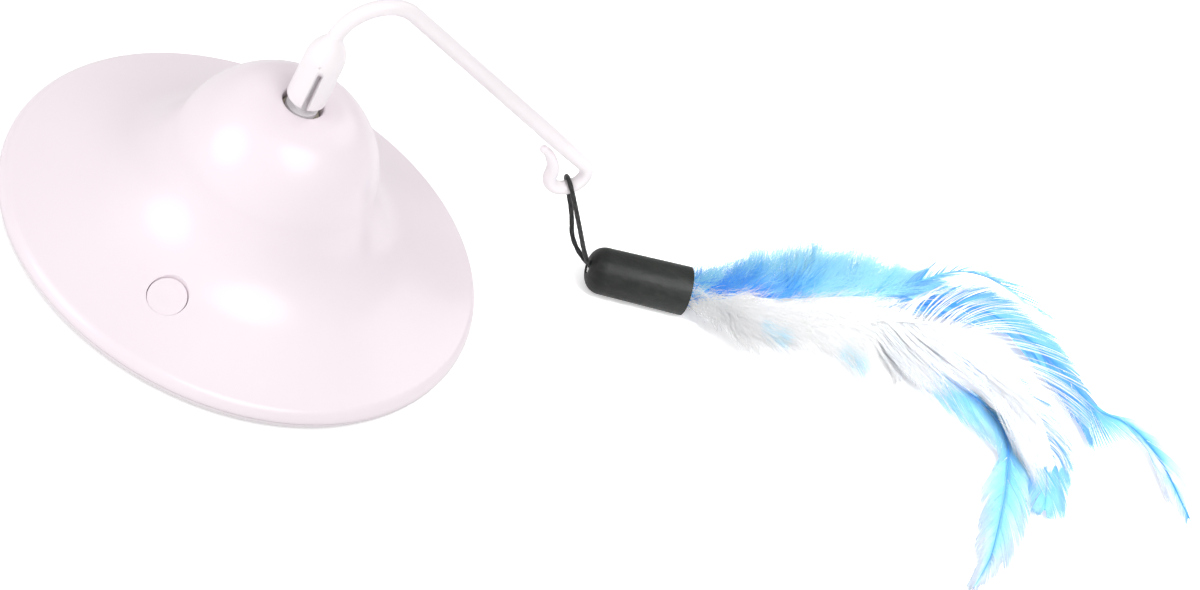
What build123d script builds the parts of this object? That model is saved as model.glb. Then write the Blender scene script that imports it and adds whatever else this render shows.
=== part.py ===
from build123d import *
import os
from math import acos, atan2, cos, degrees, hypot, pi, radians, sin, sqrt, tan

os.makedirs("parts", exist_ok=True)

# Driving dimensions, in millimetres and degrees
base_radius = 90.0
parting_height = 4.0
foot_height = 1.2
shell_wall = 2.4
dome_radius = 38.6
dome_centre_height = 42.0
crown_drop = 4.8
crown_blend = 18.0
hub_hole_radius = 7.8
wand_azimuth = 36.1
arm_slope = 37.5
eye_reach = 117.8
eye_drop = 32.6
rod_radius = 3.0
cord_radius = 0.9
button_radius = 7.2
button_inset = 27.8
button_azimuth = -101.2
cell_radius = 7.25
cell_length = 50.5
sleeve_radius = 8.6
sleeve_length = 37.6
feather_length = 200.0

# Shared fits
running_gap = 0.05
seat_gap = 0.1
free_gap = 0.3
cut_overrun = 1.0

# Sections of the shell: rolled lip, dished brim, flare and dome, each tangent to the next
lip_radius = 4.5
lip_land = 1.2
brim_arc_radius = 227.0
brim_outer_slope = 17.0
brim_inner_slope = 24.0
edge_chamfer = 0.3

lip_centre = (base_radius - lip_radius, parting_height + lip_land)


def step(start, length, angle):
    """The point that lies a length away from start, in the direction of an angle in degrees."""
    return (start[0] + length * cos(radians(angle)), start[1] + length * sin(radians(angle)))


outer_normal = 90 - brim_outer_slope
inner_normal = 90 - brim_inner_slope
brim_centre = step(step(lip_centre, lip_radius, outer_normal), brim_arc_radius, outer_normal)
brim_inner = step(brim_centre, -brim_arc_radius, inner_normal)
to_brim = (brim_inner[0], brim_inner[1] - dome_centre_height)
along_normal = to_brim[0] * cos(radians(inner_normal)) + to_brim[1] * sin(radians(inner_normal))
flare_radius = (hypot(*to_brim) ** 2 - dome_radius**2) / 2 / (dome_radius - along_normal)
flare_centre = step(brim_inner, flare_radius, inner_normal)
flare_angle = degrees(atan2(flare_centre[1] - dome_centre_height, flare_centre[0]))

# The dome is flat on top, and a blend leads from that crown into its round flank
dome_top = dome_centre_height + dome_radius - crown_drop
crown_rise = dome_radius - crown_drop - crown_blend
crown_reach = sqrt((dome_radius - crown_blend) ** 2 - crown_rise**2)
crown_centre = (crown_reach, dome_centre_height + crown_rise)
crown_angle = degrees(atan2(crown_rise, crown_reach))


def skin_arcs(depth):
    """The shell's section at a depth under its outer face, as arcs from the top to the lip."""
    dome_centre = (0, dome_centre_height)
    Line((0, dome_top - depth), (crown_reach, dome_top - depth))
    CenterArc(crown_centre, crown_blend - depth, 90, crown_angle - 90)
    CenterArc(dome_centre, dome_radius - depth, crown_angle, flare_angle - crown_angle)
    CenterArc(flare_centre, flare_radius + depth, 180 + flare_angle, inner_normal - flare_angle)
    CenterArc(brim_centre, brim_arc_radius + depth, 180 + inner_normal, outer_normal - inner_normal)
    CenterArc(lip_centre, lip_radius - depth, outer_normal, -outer_normal)


def skin_height(reach):
    """Height of the brim's outer face at a distance from the spin axis."""
    return brim_centre[1] - sqrt(brim_arc_radius**2 - (brim_centre[0] - reach) ** 2)


def polar(reach, angle):
    """A place in plan, from its distance to the spin axis and its azimuth."""
    return step((0, 0), reach, angle)


# The space under the shell's skin, filled to half the wall, which trims what is moulded inside it
half_wall = shell_wall / 2
with BuildPart() as skin_core:
    with BuildSketch(Plane.XZ):
        with BuildLine():
            skin_arcs(half_wall)
            Polyline(
                (base_radius - half_wall, lip_centre[1]),
                (base_radius - half_wall, parting_height),
                (0, parting_height),
                (0, dome_top - half_wall),
            )
        make_face()
    revolve(axis=Axis.Z)

# Screw places round the brim
shell_screw_count = 6
shell_screw_inset = 16.0
shell_screw_reach = base_radius - shell_screw_inset
boss_radius = 3.4
screw_radius = 1.25
screw_head_radius = 2.4
screw_head_height = 1.6
screw_slot_width = 0.7
screw_length = 6.0
shell_screw_places = [
    polar(shell_screw_reach, index * 360 / shell_screw_count) for index in range(shell_screw_count)
]

# Button place, and the guide moulded under the shell round it
button_reach = base_radius - button_inset
button_place = polar(button_reach, button_azimuth)
button_hole_radius = button_radius + free_gap
button_guide_wall = 1.5
button_guide_bottom = 12.5

with BuildPart() as shell_bosses:
    with BuildSketch(Plane.XY.offset(parting_height)):
        with Locations(*shell_screw_places):
            Circle(boss_radius)
    extrude(amount=dome_radius)
    with BuildSketch(Plane.XY.offset(button_guide_bottom)):
        with Locations(button_place):
            Circle(button_hole_radius + button_guide_wall)
    extrude(amount=dome_radius)
    add(skin_core.part, mode=Mode.INTERSECT)

# Collar inside the dome, round the hub hole
hub_collar_wall = 1.8
hub_collar_depth = 6.0
hub_edge_round = 0.8

with BuildPart() as upper_shell:
    with BuildSketch(Plane.XZ):
        with BuildLine():
            skin_arcs(0)
            skin_arcs(shell_wall)
            Line((0, dome_top), (0, dome_top - shell_wall))
            Polyline(
                (base_radius, lip_centre[1]),
                (base_radius, parting_height + edge_chamfer),
                (base_radius - edge_chamfer, parting_height),
                (base_radius - shell_wall, parting_height),
                (base_radius - shell_wall, lip_centre[1]),
            )
        make_face()
    revolve(axis=Axis.Z)
    add(shell_bosses.part)
    with BuildSketch(Plane.XY.offset(dome_top - shell_wall - hub_collar_depth)):
        Circle(hub_hole_radius + hub_collar_wall)
    extrude(amount=hub_collar_depth)
    with BuildSketch(Plane.XY.offset(dome_centre_height)):
        Circle(hub_hole_radius)
    extrude(amount=dome_radius + cut_overrun, mode=Mode.SUBTRACT)
    crown_edges = upper_shell.edges().filter_by(GeomType.CIRCLE).group_by(Axis.Z)[-1]
    hub_rim = crown_edges.sort_by(SortBy.RADIUS)[0]
    fillet(hub_rim, hub_edge_round)
    with BuildSketch(Plane.XY):
        with Locations(button_place):
            Circle(button_hole_radius)
    extrude(amount=dome_radius, mode=Mode.SUBTRACT)
    with BuildSketch(Plane.XY.offset(parting_height)):
        with Locations(*shell_screw_places):
            Circle(screw_radius + running_gap)
    extrude(amount=screw_length, mode=Mode.SUBTRACT)

upper_shell.part.label = "upper_shell"
export_step(upper_shell.part, "parts/upper_shell.step")

# Battery compartment, which opens downwards under a cover
box_wall = 1.6
spring_room = 4.0
flat_room = 1.2
cell_gap = 0.5
cell_pitch = 2 * cell_radius + cell_gap
cell_count = 3
box_length = cell_length + spring_room + flat_room
box_width = cell_count * cell_pitch
door_margin = 2.0
door_thickness = 2.0
door_recess = door_thickness + seat_gap
cell_height = foot_height + door_recess + free_gap + cell_radius
box_ceiling = cell_height + cell_radius + free_gap
box_top = box_ceiling + box_wall
door_tab_length = 9.0
door_tab_width = 11.0
door_screw_x = box_length / 2 + door_margin + door_tab_length / 2
door_boss_height = 9.0

# Base plate, with a register ring that centres the shell on it
base_edge_radius = 2.2
base_edge_inset = 0.3
register_wall = 1.7
register_height = 1.4
register_radius = base_radius - shell_wall - free_gap
plate_radius = base_radius - base_edge_inset
plate_thickness = parting_height - foot_height
foot_inset = 23.0
foot_outer_radius = base_radius - foot_inset
foot_width = 6.0
foot_seat_depth = 1.0
pillar_reach = 31.5
pillar_radius = 3.2
gearbox_drop = 30.8
pillar_height = dome_top - gearbox_drop
pillar_pilot_depth = 10.0
pillar_foot_round = 1.5
head_recess_depth = screw_head_height + free_gap
pillar_places = [(0, pillar_reach), (0, -pillar_reach)]

# Control board on four posts beside the compartment, under the button
board_length = 28.0
board_width = 22.0
board_thickness = 1.6
board_height = 4.6
board_post_radius = 2.2
board_post_inset = 2.6
board_post_x = board_length / 2 - board_post_inset
board_post_y = board_width / 2 - board_post_inset
board_posts = [
    (button_place[0] + side * board_post_x, button_place[1] + end * board_post_y)
    for side in (-1, 1)
    for end in (-1, 1)
]
small_screw_radius = 0.8
small_screw_length = 3.4
lead_hole_radius = 1.0
battery_lead_x = (-22.0, -17.0)
lead_hole_lift = 1.15
battery_lead_height = cell_height + lead_hole_lift

with BuildPart() as base_plate:
    with BuildSketch(Plane.XZ):
        with BuildLine():
            Line((0, foot_height), (plate_radius - base_edge_radius, foot_height))
            CenterArc(
                (plate_radius - base_edge_radius, foot_height + base_edge_radius),
                base_edge_radius,
                -90,
                90,
            )
            Polyline(
                (plate_radius, foot_height + base_edge_radius),
                (plate_radius, parting_height - edge_chamfer),
                (plate_radius - edge_chamfer, parting_height),
                (register_radius, parting_height),
                (register_radius, parting_height + register_height),
                (register_radius - register_wall, parting_height + register_height),
                (register_radius - register_wall, parting_height),
                (0, parting_height),
                (0, foot_height),
            )
        make_face()
    revolve(axis=Axis.Z)
    # compartment walls and ceiling
    with BuildSketch(Plane.XY.offset(parting_height)):
        Rectangle(box_length + 2 * box_wall, box_width + 2 * box_wall)
    extrude(amount=box_top - parting_height)
    with BuildSketch(Plane.XY.offset(foot_height)):
        Rectangle(box_length, box_width)
    extrude(amount=box_ceiling - foot_height, mode=Mode.SUBTRACT)
    # boss for the cover's screw
    with BuildSketch(Plane.XY.offset(parting_height)):
        with Locations((door_screw_x, 0)):
            Circle(boss_radius)
    extrude(amount=door_boss_height)
    # recess for the cover and its tab
    with BuildSketch(Plane.XY.offset(foot_height)):
        Rectangle(box_length + 2 * door_margin, box_width + 2 * door_margin)
        with Locations((door_screw_x - door_tab_length / 2, 0)):
            Rectangle(2 * door_tab_length, door_tab_width)
    extrude(amount=door_recess, mode=Mode.SUBTRACT)
    with BuildSketch(Plane.XY.offset(foot_height)):
        with Locations((door_screw_x, 0)):
            Circle(screw_radius + running_gap)
    extrude(amount=door_recess + screw_length + seat_gap, mode=Mode.SUBTRACT)
    # pillars that carry the gearbox
    with BuildSketch(Plane.XY.offset(parting_height)):
        with Locations(*pillar_places):
            Circle(pillar_radius)
    extrude(amount=pillar_height - parting_height)
    pillar_feet = (
        base_plate.edges()
        .filter_by(GeomType.CIRCLE)
        .filter_by(lambda edge: abs(edge.radius - pillar_radius) < running_gap)
        .group_by(Axis.Z)[0]
    )
    fillet(pillar_feet, pillar_foot_round)
    with BuildSketch(Plane.XY.offset(pillar_height)):
        with Locations(*pillar_places):
            Circle(screw_radius + running_gap)
    extrude(amount=-pillar_pilot_depth, mode=Mode.SUBTRACT)
    # posts that carry the control board
    with BuildSketch(Plane.XY.offset(parting_height)):
        with Locations(*board_posts):
            Circle(board_post_radius)
    extrude(amount=board_height - parting_height)
    with BuildSketch(Plane.XY.offset(board_height)):
        with Locations(*board_posts):
            Circle(small_screw_radius + running_gap)
    extrude(amount=board_thickness - small_screw_length - seat_gap, mode=Mode.SUBTRACT)
    # seat of the rubber ring, and the screws' counterbores
    with BuildSketch(Plane.XY.offset(foot_height)):
        Circle(foot_outer_radius)
        Circle(foot_outer_radius - foot_width, mode=Mode.SUBTRACT)
    extrude(amount=foot_seat_depth, mode=Mode.SUBTRACT)
    with Locations(*[(x, y, foot_height) for x, y in shell_screw_places]):
        Cylinder(
            screw_head_radius + free_gap,
            head_recess_depth,
            align=(Align.CENTER, Align.CENTER, Align.MIN),
            mode=Mode.SUBTRACT,
        )
        Cylinder(
            screw_radius + free_gap,
            plate_thickness + cut_overrun,
            align=(Align.CENTER, Align.CENTER, Align.MIN),
            mode=Mode.SUBTRACT,
        )
    # holes where the battery leads come out of the compartment
    with BuildSketch(Plane.XZ.offset(box_width / 2)):
        with Locations(*[(x, battery_lead_height) for x in battery_lead_x]):
            Circle(lead_hole_radius)
    extrude(amount=box_wall + cut_overrun, mode=Mode.SUBTRACT)

base_plate.part.label = "base_plate"
export_step(base_plate.part, "parts/base_plate.step")

# Rubber ring that the toy stands on
with BuildPart() as foot_ring:
    with BuildSketch(Plane.XY):
        Circle(foot_outer_radius - seat_gap)
        Circle(foot_outer_radius - foot_width + seat_gap, mode=Mode.SUBTRACT)
    extrude(amount=foot_height + foot_seat_depth)

foot_ring.part.label = "foot_ring"
export_step(foot_ring.part, "parts/foot_ring.step")

# Battery cover, flush with the base plate, with a tab for its screw
grip_groove_count = 5
grip_groove_pitch = 2.4
grip_groove_width = 1.0
grip_groove_length = 20.0
grip_groove_depth = 0.5
grip_share = 0.3
cover_recess_depth = 1.4

with BuildPart() as battery_door:
    with BuildSketch(Plane.XY.offset(foot_height)):
        Rectangle(box_length + 2 * door_margin - 2 * seat_gap, box_width + 2 * door_margin - 2 * seat_gap)
        with Locations((door_screw_x - door_tab_length / 2, 0)):
            Rectangle(2 * door_tab_length - 2 * seat_gap, door_tab_width - 2 * seat_gap)
    extrude(amount=door_thickness)
    with BuildSketch(Plane.XY.offset(foot_height)):
        with Locations((-box_length * grip_share, 0)):
            with GridLocations(grip_groove_pitch, 0, grip_groove_count, 1):
                Rectangle(grip_groove_width, grip_groove_length)
    extrude(amount=grip_groove_depth, mode=Mode.SUBTRACT)
    with Locations((door_screw_x, 0, foot_height)):
        Cylinder(
            screw_head_radius + free_gap,
            cover_recess_depth,
            align=(Align.CENTER, Align.CENTER, Align.MIN),
            mode=Mode.SUBTRACT,
        )
        Cylinder(
            screw_radius + free_gap,
            door_thickness + cut_overrun,
            align=(Align.CENTER, Align.CENTER, Align.MIN),
            mode=Mode.SUBTRACT,
        )

battery_door.part.label = "battery_door"
export_step(battery_door.part, "parts/battery_door.step")

# AA cells side by side, the middle one turned round
cell_nub_radius = 2.75
cell_nub_length = 1.0
cell_edge = 0.5
cell_start = flat_room - box_length / 2

for index in range(cell_count):
    turned = index % 2
    with BuildPart() as battery_cell:
        cell_plane = Plane(
            origin=((-1 if turned else 1) * cell_start, (index - 1) * cell_pitch, cell_height),
            z_dir=(-1 if turned else 1, 0, 0),
        )
        with BuildSketch(cell_plane):
            Circle(cell_nub_radius)
        extrude(amount=cell_nub_length)
        with BuildSketch(cell_plane.offset(cell_nub_length)):
            Circle(cell_radius)
        extrude(amount=cell_length - cell_nub_length)
        can_edges = battery_cell.edges().filter_by(
            lambda edge: edge.geom_type == GeomType.CIRCLE and edge.radius > cell_nub_radius
        )
        chamfer(can_edges, cell_edge)
    battery_cell.part.label = f"battery_cell_{index + 1}"
    export_step(battery_cell.part, f"parts/battery_cell_{index + 1}.step")

# Sheet metal contacts: a flat one at each cell's nub, a bent leaf at its other end
contact_thickness = 0.4
contact_width = 10.0
contact_height = 12.0
leaf_lean = 0.8
leaf_foot = contact_thickness

with BuildPart() as flat_contacts:
    for index in range(cell_count):
        side = 1 if index % 2 else -1
        wall_x = side * (box_length / 2 - seat_gap)
        with BuildSketch(Plane(origin=(wall_x, (index - 1) * cell_pitch, cell_height), z_dir=(-side, 0, 0))):
            Rectangle(contact_height, contact_width)
        extrude(amount=flat_room - 2 * seat_gap)

flat_contacts.part.label = "flat_contacts"
export_step(flat_contacts.part, "parts/flat_contacts.step")

with BuildPart() as spring_contacts:
    for index in range(cell_count):
        side = -1 if index % 2 else 1
        wall_x = box_length / 2 - seat_gap
        low, high = cell_height - contact_height / 2, cell_height + contact_height / 2
        near_x = box_length / 2 - spring_room + seat_gap
        leaf_plane = Plane(
            origin=(0, (index - 1) * cell_pitch + side * contact_width / 2, 0),
            x_dir=(side, 0, 0),
            z_dir=(0, -side, 0),
        )
        with BuildSketch(leaf_plane):
            Polygon(
                (wall_x, high),
                (wall_x - contact_thickness, high),
                (wall_x - contact_thickness, low + leaf_foot),
                (near_x + contact_thickness + leaf_lean, low + leaf_foot),
                (near_x + contact_thickness, cell_height),
                (near_x + contact_thickness + leaf_lean, high),
                (near_x + leaf_lean, high),
                (near_x, cell_height),
                (near_x + leaf_lean, low),
                (wall_x, low),
                align=None,
            )
        extrude(amount=contact_width)

spring_contacts.part.label = "spring_contacts"
export_step(spring_contacts.part, "parts/spring_contacts.step")

# Spur gears with involute teeth, the small ones shifted outwards and the wheels inwards by as much
gear_module = 0.5
pressure_angle = radians(20)
pinion_shift = 0.4
addendum_share = 1.0
dedendum_share = 1.25
tooth_backlash = 0.07
flank_shares = (0.0, 0.35, 0.7, 1.0)
motor_teeth = 10
motor_wheel_teeth = 46
pinion_teeth = 12
wheel_teeth = 44
gear_distance = gear_module * (pinion_teeth + wheel_teeth) / 2
wheel_tip_radius = gear_module * (motor_wheel_teeth / 2 + addendum_share - pinion_shift)


def involute(angle):
    """How far an involute has turned from its base circle at a pressure angle."""
    return tan(angle) - angle


def gear_outline(teeth, shift, aim):
    """Outline of a gear whose tooth, or with aim a gap, is centred on its X axis turned by aim."""
    pitch_radius = gear_module * teeth / 2
    base = pitch_radius * cos(pressure_angle)
    tip = pitch_radius + gear_module * (addendum_share + shift)
    root = pitch_radius - gear_module * (dedendum_share - shift)
    half_pitch_tooth = (pi / 2 + 2 * shift * tan(pressure_angle)) / teeth
    half_pitch_tooth -= tooth_backlash / 2 / pitch_radius
    flank_start = max(base, root)
    flank = [(root, half_pitch_tooth + involute(pressure_angle) - involute(acos(base / flank_start)))]
    for share in flank_shares:
        radius = flank_start + (tip - flank_start) * share
        half = half_pitch_tooth + involute(pressure_angle) - involute(acos(base / radius))
        if radius > root:
            flank.append((radius, half))
    outline = []
    for tooth in range(teeth):
        middle = radians(aim) + 2 * pi * tooth / teeth
        for radius, half in flank:
            outline.append((radius * cos(middle - half), radius * sin(middle - half)))
        for radius, half in reversed(flank):
            outline.append((radius * cos(middle + half), radius * sin(middle + half)))
    return outline


def gap_aim(teeth, direction):
    """The aim that puts a gap between two teeth in a direction."""
    return direction + 180 / teeth


# Gear axes, each one gear distance from the spindle and from the next
second_idler_angle = 150.0
first_idler_angle = 210.0
motor_angle = 270.0
second_idler_place = polar(gear_distance, second_idler_angle)
first_idler_place = polar(gear_distance, first_idler_angle)
motor_place = polar(gear_distance, motor_angle)


def bearing(start, end):
    """Direction in plan from one axis to another, in degrees."""
    return degrees(atan2(end[1] - start[1], end[0] - start[0]))


# Heights of the gearbox plates and of its three layers of gears
gearbox_plate = 2.0
gear_face = 3.0
layer_gap = 0.9
wheel_lift = 0.6
first_layer = pillar_height + gearbox_plate + wheel_lift
second_layer = first_layer + gear_face + layer_gap
third_layer = second_layer + gear_face + layer_gap
cover_ceiling = third_layer + gear_face + layer_gap
cover_plate = 1.5
cover_top = cover_ceiling + cover_plate
case_wall = 1.5
case_gap = 0.5
case_radius = wheel_tip_radius + case_gap + case_wall
pin_radius = 1.0
pin_seat = 1.2
hub_radius = 1.9

# Motor below the gearbox plate, a round can with two flats
motor_radius = 10.1
motor_flat_width = 15.2
motor_clearance = 1.0
motor_length = pillar_height - box_top - motor_clearance
motor_wall = 0.8
end_cap_length = 3.0
motor_nose_radius = 3.0
motor_nose_height = 1.4
shaft_radius = 1.0
motor_bottom = pillar_height - motor_length
can_bottom = motor_bottom + end_cap_length
shaft_bottom = motor_bottom + motor_wall
shaft_top = second_layer - layer_gap / 2

# Lugs with screws that hold the gearbox's cover, each beside a gear's axis in its own direction
ear_radius = 3.6
lug_radius = 3.4
lug_height = 3.0
lug_boss_height = 4.0
lug_reach = case_radius + screw_head_radius + free_gap
case_places = [(0, 0), second_idler_place, first_idler_place]
lug_places = [
    step((0, 0), lug_reach, 30),
    step((0, 0), lug_reach, -10),
    step(second_idler_place, lug_reach, 75),
    step(first_idler_place, lug_reach, 226),
]

# Spindle: journal in the gearbox plate, shaft in the bush, collar, and the spigot that drives the wand
journal_radius = 1.5
spindle_radius = 4.0
collar_radius = 6.0
collar_height = 2.0
spigot_radius = 3.5
spigot_flat = 2.9
slit_azimuth = -78.5
seat_radius = 4.8
seat_sink = 1.85
seat_top = dome_top - seat_sink
spigot_stand = 19.2
spigot_top = dome_top + spigot_stand
spigot_edge = 0.6
press_gap = 0.02
bush_radius = 6.0
bush_flange_radius = 7.2
bush_flange_height = 0.8
bush_tube_wall = 1.4
bush_tube_height = 11.7
bush_tube_top = cover_ceiling + bush_tube_height
washer_height = 0.8
washer_bottom = bush_tube_top + bush_flange_height + running_gap
collar_bottom = washer_bottom + washer_height + running_gap

with BuildPart() as gearbox_base:
    with BuildSketch(Plane.XY.offset(pillar_height)):
        with Locations(*case_places):
            Circle(case_radius)
        with Locations(motor_place):
            Circle(motor_radius + case_gap)
        make_hull()
        Rectangle(2 * ear_radius, 2 * pillar_reach)
        with Locations(*pillar_places):
            Circle(ear_radius)
        with Locations(*lug_places):
            Circle(lug_radius)
        with Locations(*pillar_places):
            Circle(screw_radius + free_gap, mode=Mode.SUBTRACT)
        with Locations(motor_place):
            Circle(motor_nose_radius + seat_gap, mode=Mode.SUBTRACT)
        Circle(journal_radius + running_gap, mode=Mode.SUBTRACT)
    extrude(amount=gearbox_plate)
    with BuildSketch(Plane.XY.offset(pillar_height)):
        with Locations(*lug_places):
            Circle(lug_radius)
    extrude(amount=-lug_boss_height)
    with BuildSketch(Plane.XY.offset(pillar_height + gearbox_plate)):
        with Locations(*lug_places):
            Circle(screw_radius + running_gap)
    extrude(amount=-(gearbox_plate + lug_boss_height), mode=Mode.SUBTRACT)
    with BuildSketch(Plane.XY.offset(pillar_height + gearbox_plate)):
        with Locations(first_idler_place, second_idler_place):
            Circle(pin_radius)
    extrude(amount=-pin_seat, mode=Mode.SUBTRACT)

gearbox_base.part.label = "gearbox_base"
export_step(gearbox_base.part, "parts/gearbox_base.step")

cover_bottom = pillar_height + gearbox_plate

with BuildPart() as gearbox_cover:
    with BuildSketch(Plane.XY.offset(cover_bottom)):
        with Locations(*case_places):
            Circle(case_radius)
        with Locations(motor_place):
            Circle(motor_radius + case_gap)
        make_hull()
    extrude(amount=cover_top - cover_bottom)
    with BuildSketch(Plane.XY.offset(cover_bottom)):
        with Locations(*lug_places):
            Circle(lug_radius)
    extrude(amount=lug_height)
    with BuildSketch(Plane.XY.offset(cover_bottom)):
        with Locations(*case_places):
            Circle(case_radius - case_wall)
        with Locations(motor_place):
            Circle(motor_radius + case_gap - case_wall)
        make_hull()
    extrude(amount=cover_ceiling - cover_bottom, mode=Mode.SUBTRACT)
    with BuildSketch(Plane.XY.offset(cover_ceiling)):
        Circle(bush_radius + bush_tube_wall)
    extrude(amount=bush_tube_top - cover_ceiling)
    with BuildSketch(Plane.XY.offset(cover_ceiling)):
        Circle(bush_radius + press_gap)
    extrude(amount=bush_tube_top - cover_ceiling, mode=Mode.SUBTRACT)
    with BuildSketch(Plane.XY.offset(cover_bottom)):
        with Locations(*lug_places):
            Circle(screw_radius + free_gap)
    extrude(amount=lug_height, mode=Mode.SUBTRACT)
    with BuildSketch(Plane.XY.offset(cover_ceiling)):
        with Locations(first_idler_place, second_idler_place):
            Circle(pin_radius)
    extrude(amount=cover_plate / 2, mode=Mode.SUBTRACT)

gearbox_cover.part.label = "gearbox_cover"
export_step(gearbox_cover.part, "parts/gearbox_cover.step")

# Steel pins that the two idlers turn on
with BuildPart() as idler_pins:
    with BuildSketch(Plane.XY.offset(cover_bottom - pin_seat)):
        with Locations(first_idler_place, second_idler_place):
            Circle(pin_radius)
    extrude(amount=cover_ceiling + cover_plate / 2 - cover_bottom + pin_seat)

idler_pins.part.label = "idler_pins"
export_step(idler_pins.part, "parts/idler_pins.step")


def axis_plane(place, height):
    """A level plane with its origin on a gear's axis."""
    return Plane(origin=(*place, height))


# Compound idlers: a wheel with a pinion moulded on it
first_wheel_aim = gap_aim(motor_wheel_teeth, bearing(first_idler_place, motor_place))
first_pinion_aim = bearing(first_idler_place, second_idler_place)
second_wheel_aim = gap_aim(wheel_teeth, bearing(second_idler_place, first_idler_place))
second_pinion_aim = bearing(second_idler_place, (0, 0))
output_aim = gap_aim(wheel_teeth, second_idler_angle)
pinion_lead = 0.2

with BuildPart() as first_idler_gear:
    with BuildSketch(axis_plane(first_idler_place, first_layer)):
        with BuildLine():
            Polyline(*gear_outline(motor_wheel_teeth, -pinion_shift, first_wheel_aim), close=True)
        make_face()
    extrude(amount=gear_face)
    with BuildSketch(axis_plane(first_idler_place, first_layer + gear_face)):
        with BuildLine():
            Polyline(*gear_outline(pinion_teeth, pinion_shift, first_pinion_aim), close=True)
        make_face()
    extrude(amount=layer_gap + gear_face + pinion_lead)
    with BuildSketch(axis_plane(first_idler_place, first_layer)):
        Circle(hub_radius)
    extrude(amount=cover_ceiling - free_gap - first_layer)
    with BuildSketch(axis_plane(first_idler_place, first_layer)):
        Circle(pin_radius + running_gap)
    extrude(amount=cover_ceiling - first_layer, mode=Mode.SUBTRACT)

first_idler_gear.part.label = "first_idler_gear"
export_step(first_idler_gear.part, "parts/first_idler_gear.step")

with BuildPart() as second_idler_gear:
    with BuildSketch(axis_plane(second_idler_place, second_layer)):
        with BuildLine():
            Polyline(*gear_outline(wheel_teeth, -pinion_shift, second_wheel_aim), close=True)
        make_face()
    extrude(amount=gear_face)
    with BuildSketch(axis_plane(second_idler_place, second_layer + gear_face)):
        with BuildLine():
            Polyline(*gear_outline(pinion_teeth, pinion_shift, second_pinion_aim), close=True)
        make_face()
    extrude(amount=cover_ceiling - free_gap - second_layer - gear_face)
    with BuildSketch(axis_plane(second_idler_place, first_layer)):
        Circle(hub_radius)
    extrude(amount=second_layer - first_layer)
    with BuildSketch(axis_plane(second_idler_place, first_layer)):
        Circle(pin_radius + running_gap)
    extrude(amount=cover_ceiling - first_layer, mode=Mode.SUBTRACT)

second_idler_gear.part.label = "second_idler_gear"
export_step(second_idler_gear.part, "parts/second_idler_gear.step")

with BuildPart() as output_gear:
    with BuildSketch(Plane.XY.offset(third_layer)):
        with BuildLine():
            Polyline(*gear_outline(wheel_teeth, -pinion_shift, output_aim), close=True)
        make_face()
        Circle(spindle_radius + press_gap, mode=Mode.SUBTRACT)
    extrude(amount=gear_face)

output_gear.part.label = "output_gear"
export_step(output_gear.part, "parts/output_gear.step")


def flat_plane(height):
    """A level plane on the spin axis, with its X axis square to the spigot's flat."""
    return Plane(origin=(0, 0, height), x_dir=(*polar(-1, slit_azimuth), 0), z_dir=(0, 0, 1))


spindle_shoulder = third_layer - layer_gap / 2
spigot_bottom = collar_bottom + collar_height

with BuildPart() as drive_spindle:
    with BuildSketch(Plane.XY.offset(pillar_height + free_gap)):
        Circle(journal_radius)
    extrude(amount=spindle_shoulder - pillar_height - free_gap)
    with BuildSketch(Plane.XY.offset(spindle_shoulder)):
        Circle(spindle_radius)
    extrude(amount=collar_bottom - spindle_shoulder)
    with BuildSketch(Plane.XY.offset(collar_bottom)):
        Circle(collar_radius)
    extrude(amount=collar_height)
    with BuildSketch(Plane.XY.offset(spigot_bottom)):
        Circle(seat_radius)
    extrude(amount=seat_top - spigot_bottom)
    with BuildSketch(Plane.XY.offset(spigot_bottom)):
        Circle(spigot_radius)
    extrude(amount=spigot_top - spigot_bottom)
    chamfer(drive_spindle.edges().group_by(Axis.Z)[-1], spigot_edge)
    with BuildSketch(flat_plane(seat_top)):
        with Locations((spigot_flat, 0)):
            Rectangle(spigot_radius, 2 * spigot_radius, align=(Align.MIN, Align.CENTER))
    extrude(amount=spigot_top - seat_top, mode=Mode.SUBTRACT)

drive_spindle.part.label = "drive_spindle"
export_step(drive_spindle.part, "parts/drive_spindle.step")

with BuildPart() as spindle_bush:
    with BuildSketch(Plane.XY.offset(cover_ceiling)):
        Circle(bush_radius)
        Circle(spindle_radius + running_gap, mode=Mode.SUBTRACT)
    extrude(amount=bush_tube_top - cover_ceiling)
    with BuildSketch(Plane.XY.offset(bush_tube_top)):
        Circle(bush_flange_radius)
        Circle(spindle_radius + running_gap, mode=Mode.SUBTRACT)
    extrude(amount=bush_flange_height)

spindle_bush.part.label = "spindle_bush"
export_step(spindle_bush.part, "parts/spindle_bush.step")

with BuildPart() as thrust_washer:
    with BuildSketch(Plane.XY.offset(washer_bottom)):
        Circle(collar_radius)
        Circle(spindle_radius + running_gap, mode=Mode.SUBTRACT)
    extrude(amount=washer_height)

thrust_washer.part.label = "thrust_washer"
export_step(thrust_washer.part, "parts/thrust_washer.step")


# Motor
def motor_section(depth):
    """Round section with two flats, at a depth under its outer face."""
    Circle(motor_radius - depth)
    Rectangle(2 * motor_radius, motor_flat_width - 2 * depth, mode=Mode.INTERSECT)


with BuildPart() as motor_can:
    with BuildSketch(axis_plane(motor_place, can_bottom)):
        motor_section(0)
    extrude(amount=pillar_height - can_bottom)
    with BuildSketch(axis_plane(motor_place, can_bottom)):
        motor_section(motor_wall)
    extrude(amount=pillar_height - can_bottom - motor_wall, mode=Mode.SUBTRACT)
    with BuildSketch(axis_plane(motor_place, pillar_height)):
        Circle(motor_nose_radius)
    extrude(amount=motor_nose_height)
    with BuildSketch(axis_plane(motor_place, can_bottom)):
        Circle(shaft_radius + running_gap)
    extrude(amount=motor_length, mode=Mode.SUBTRACT)

motor_can.part.label = "motor_can"
export_step(motor_can.part, "parts/motor_can.step")

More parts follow.
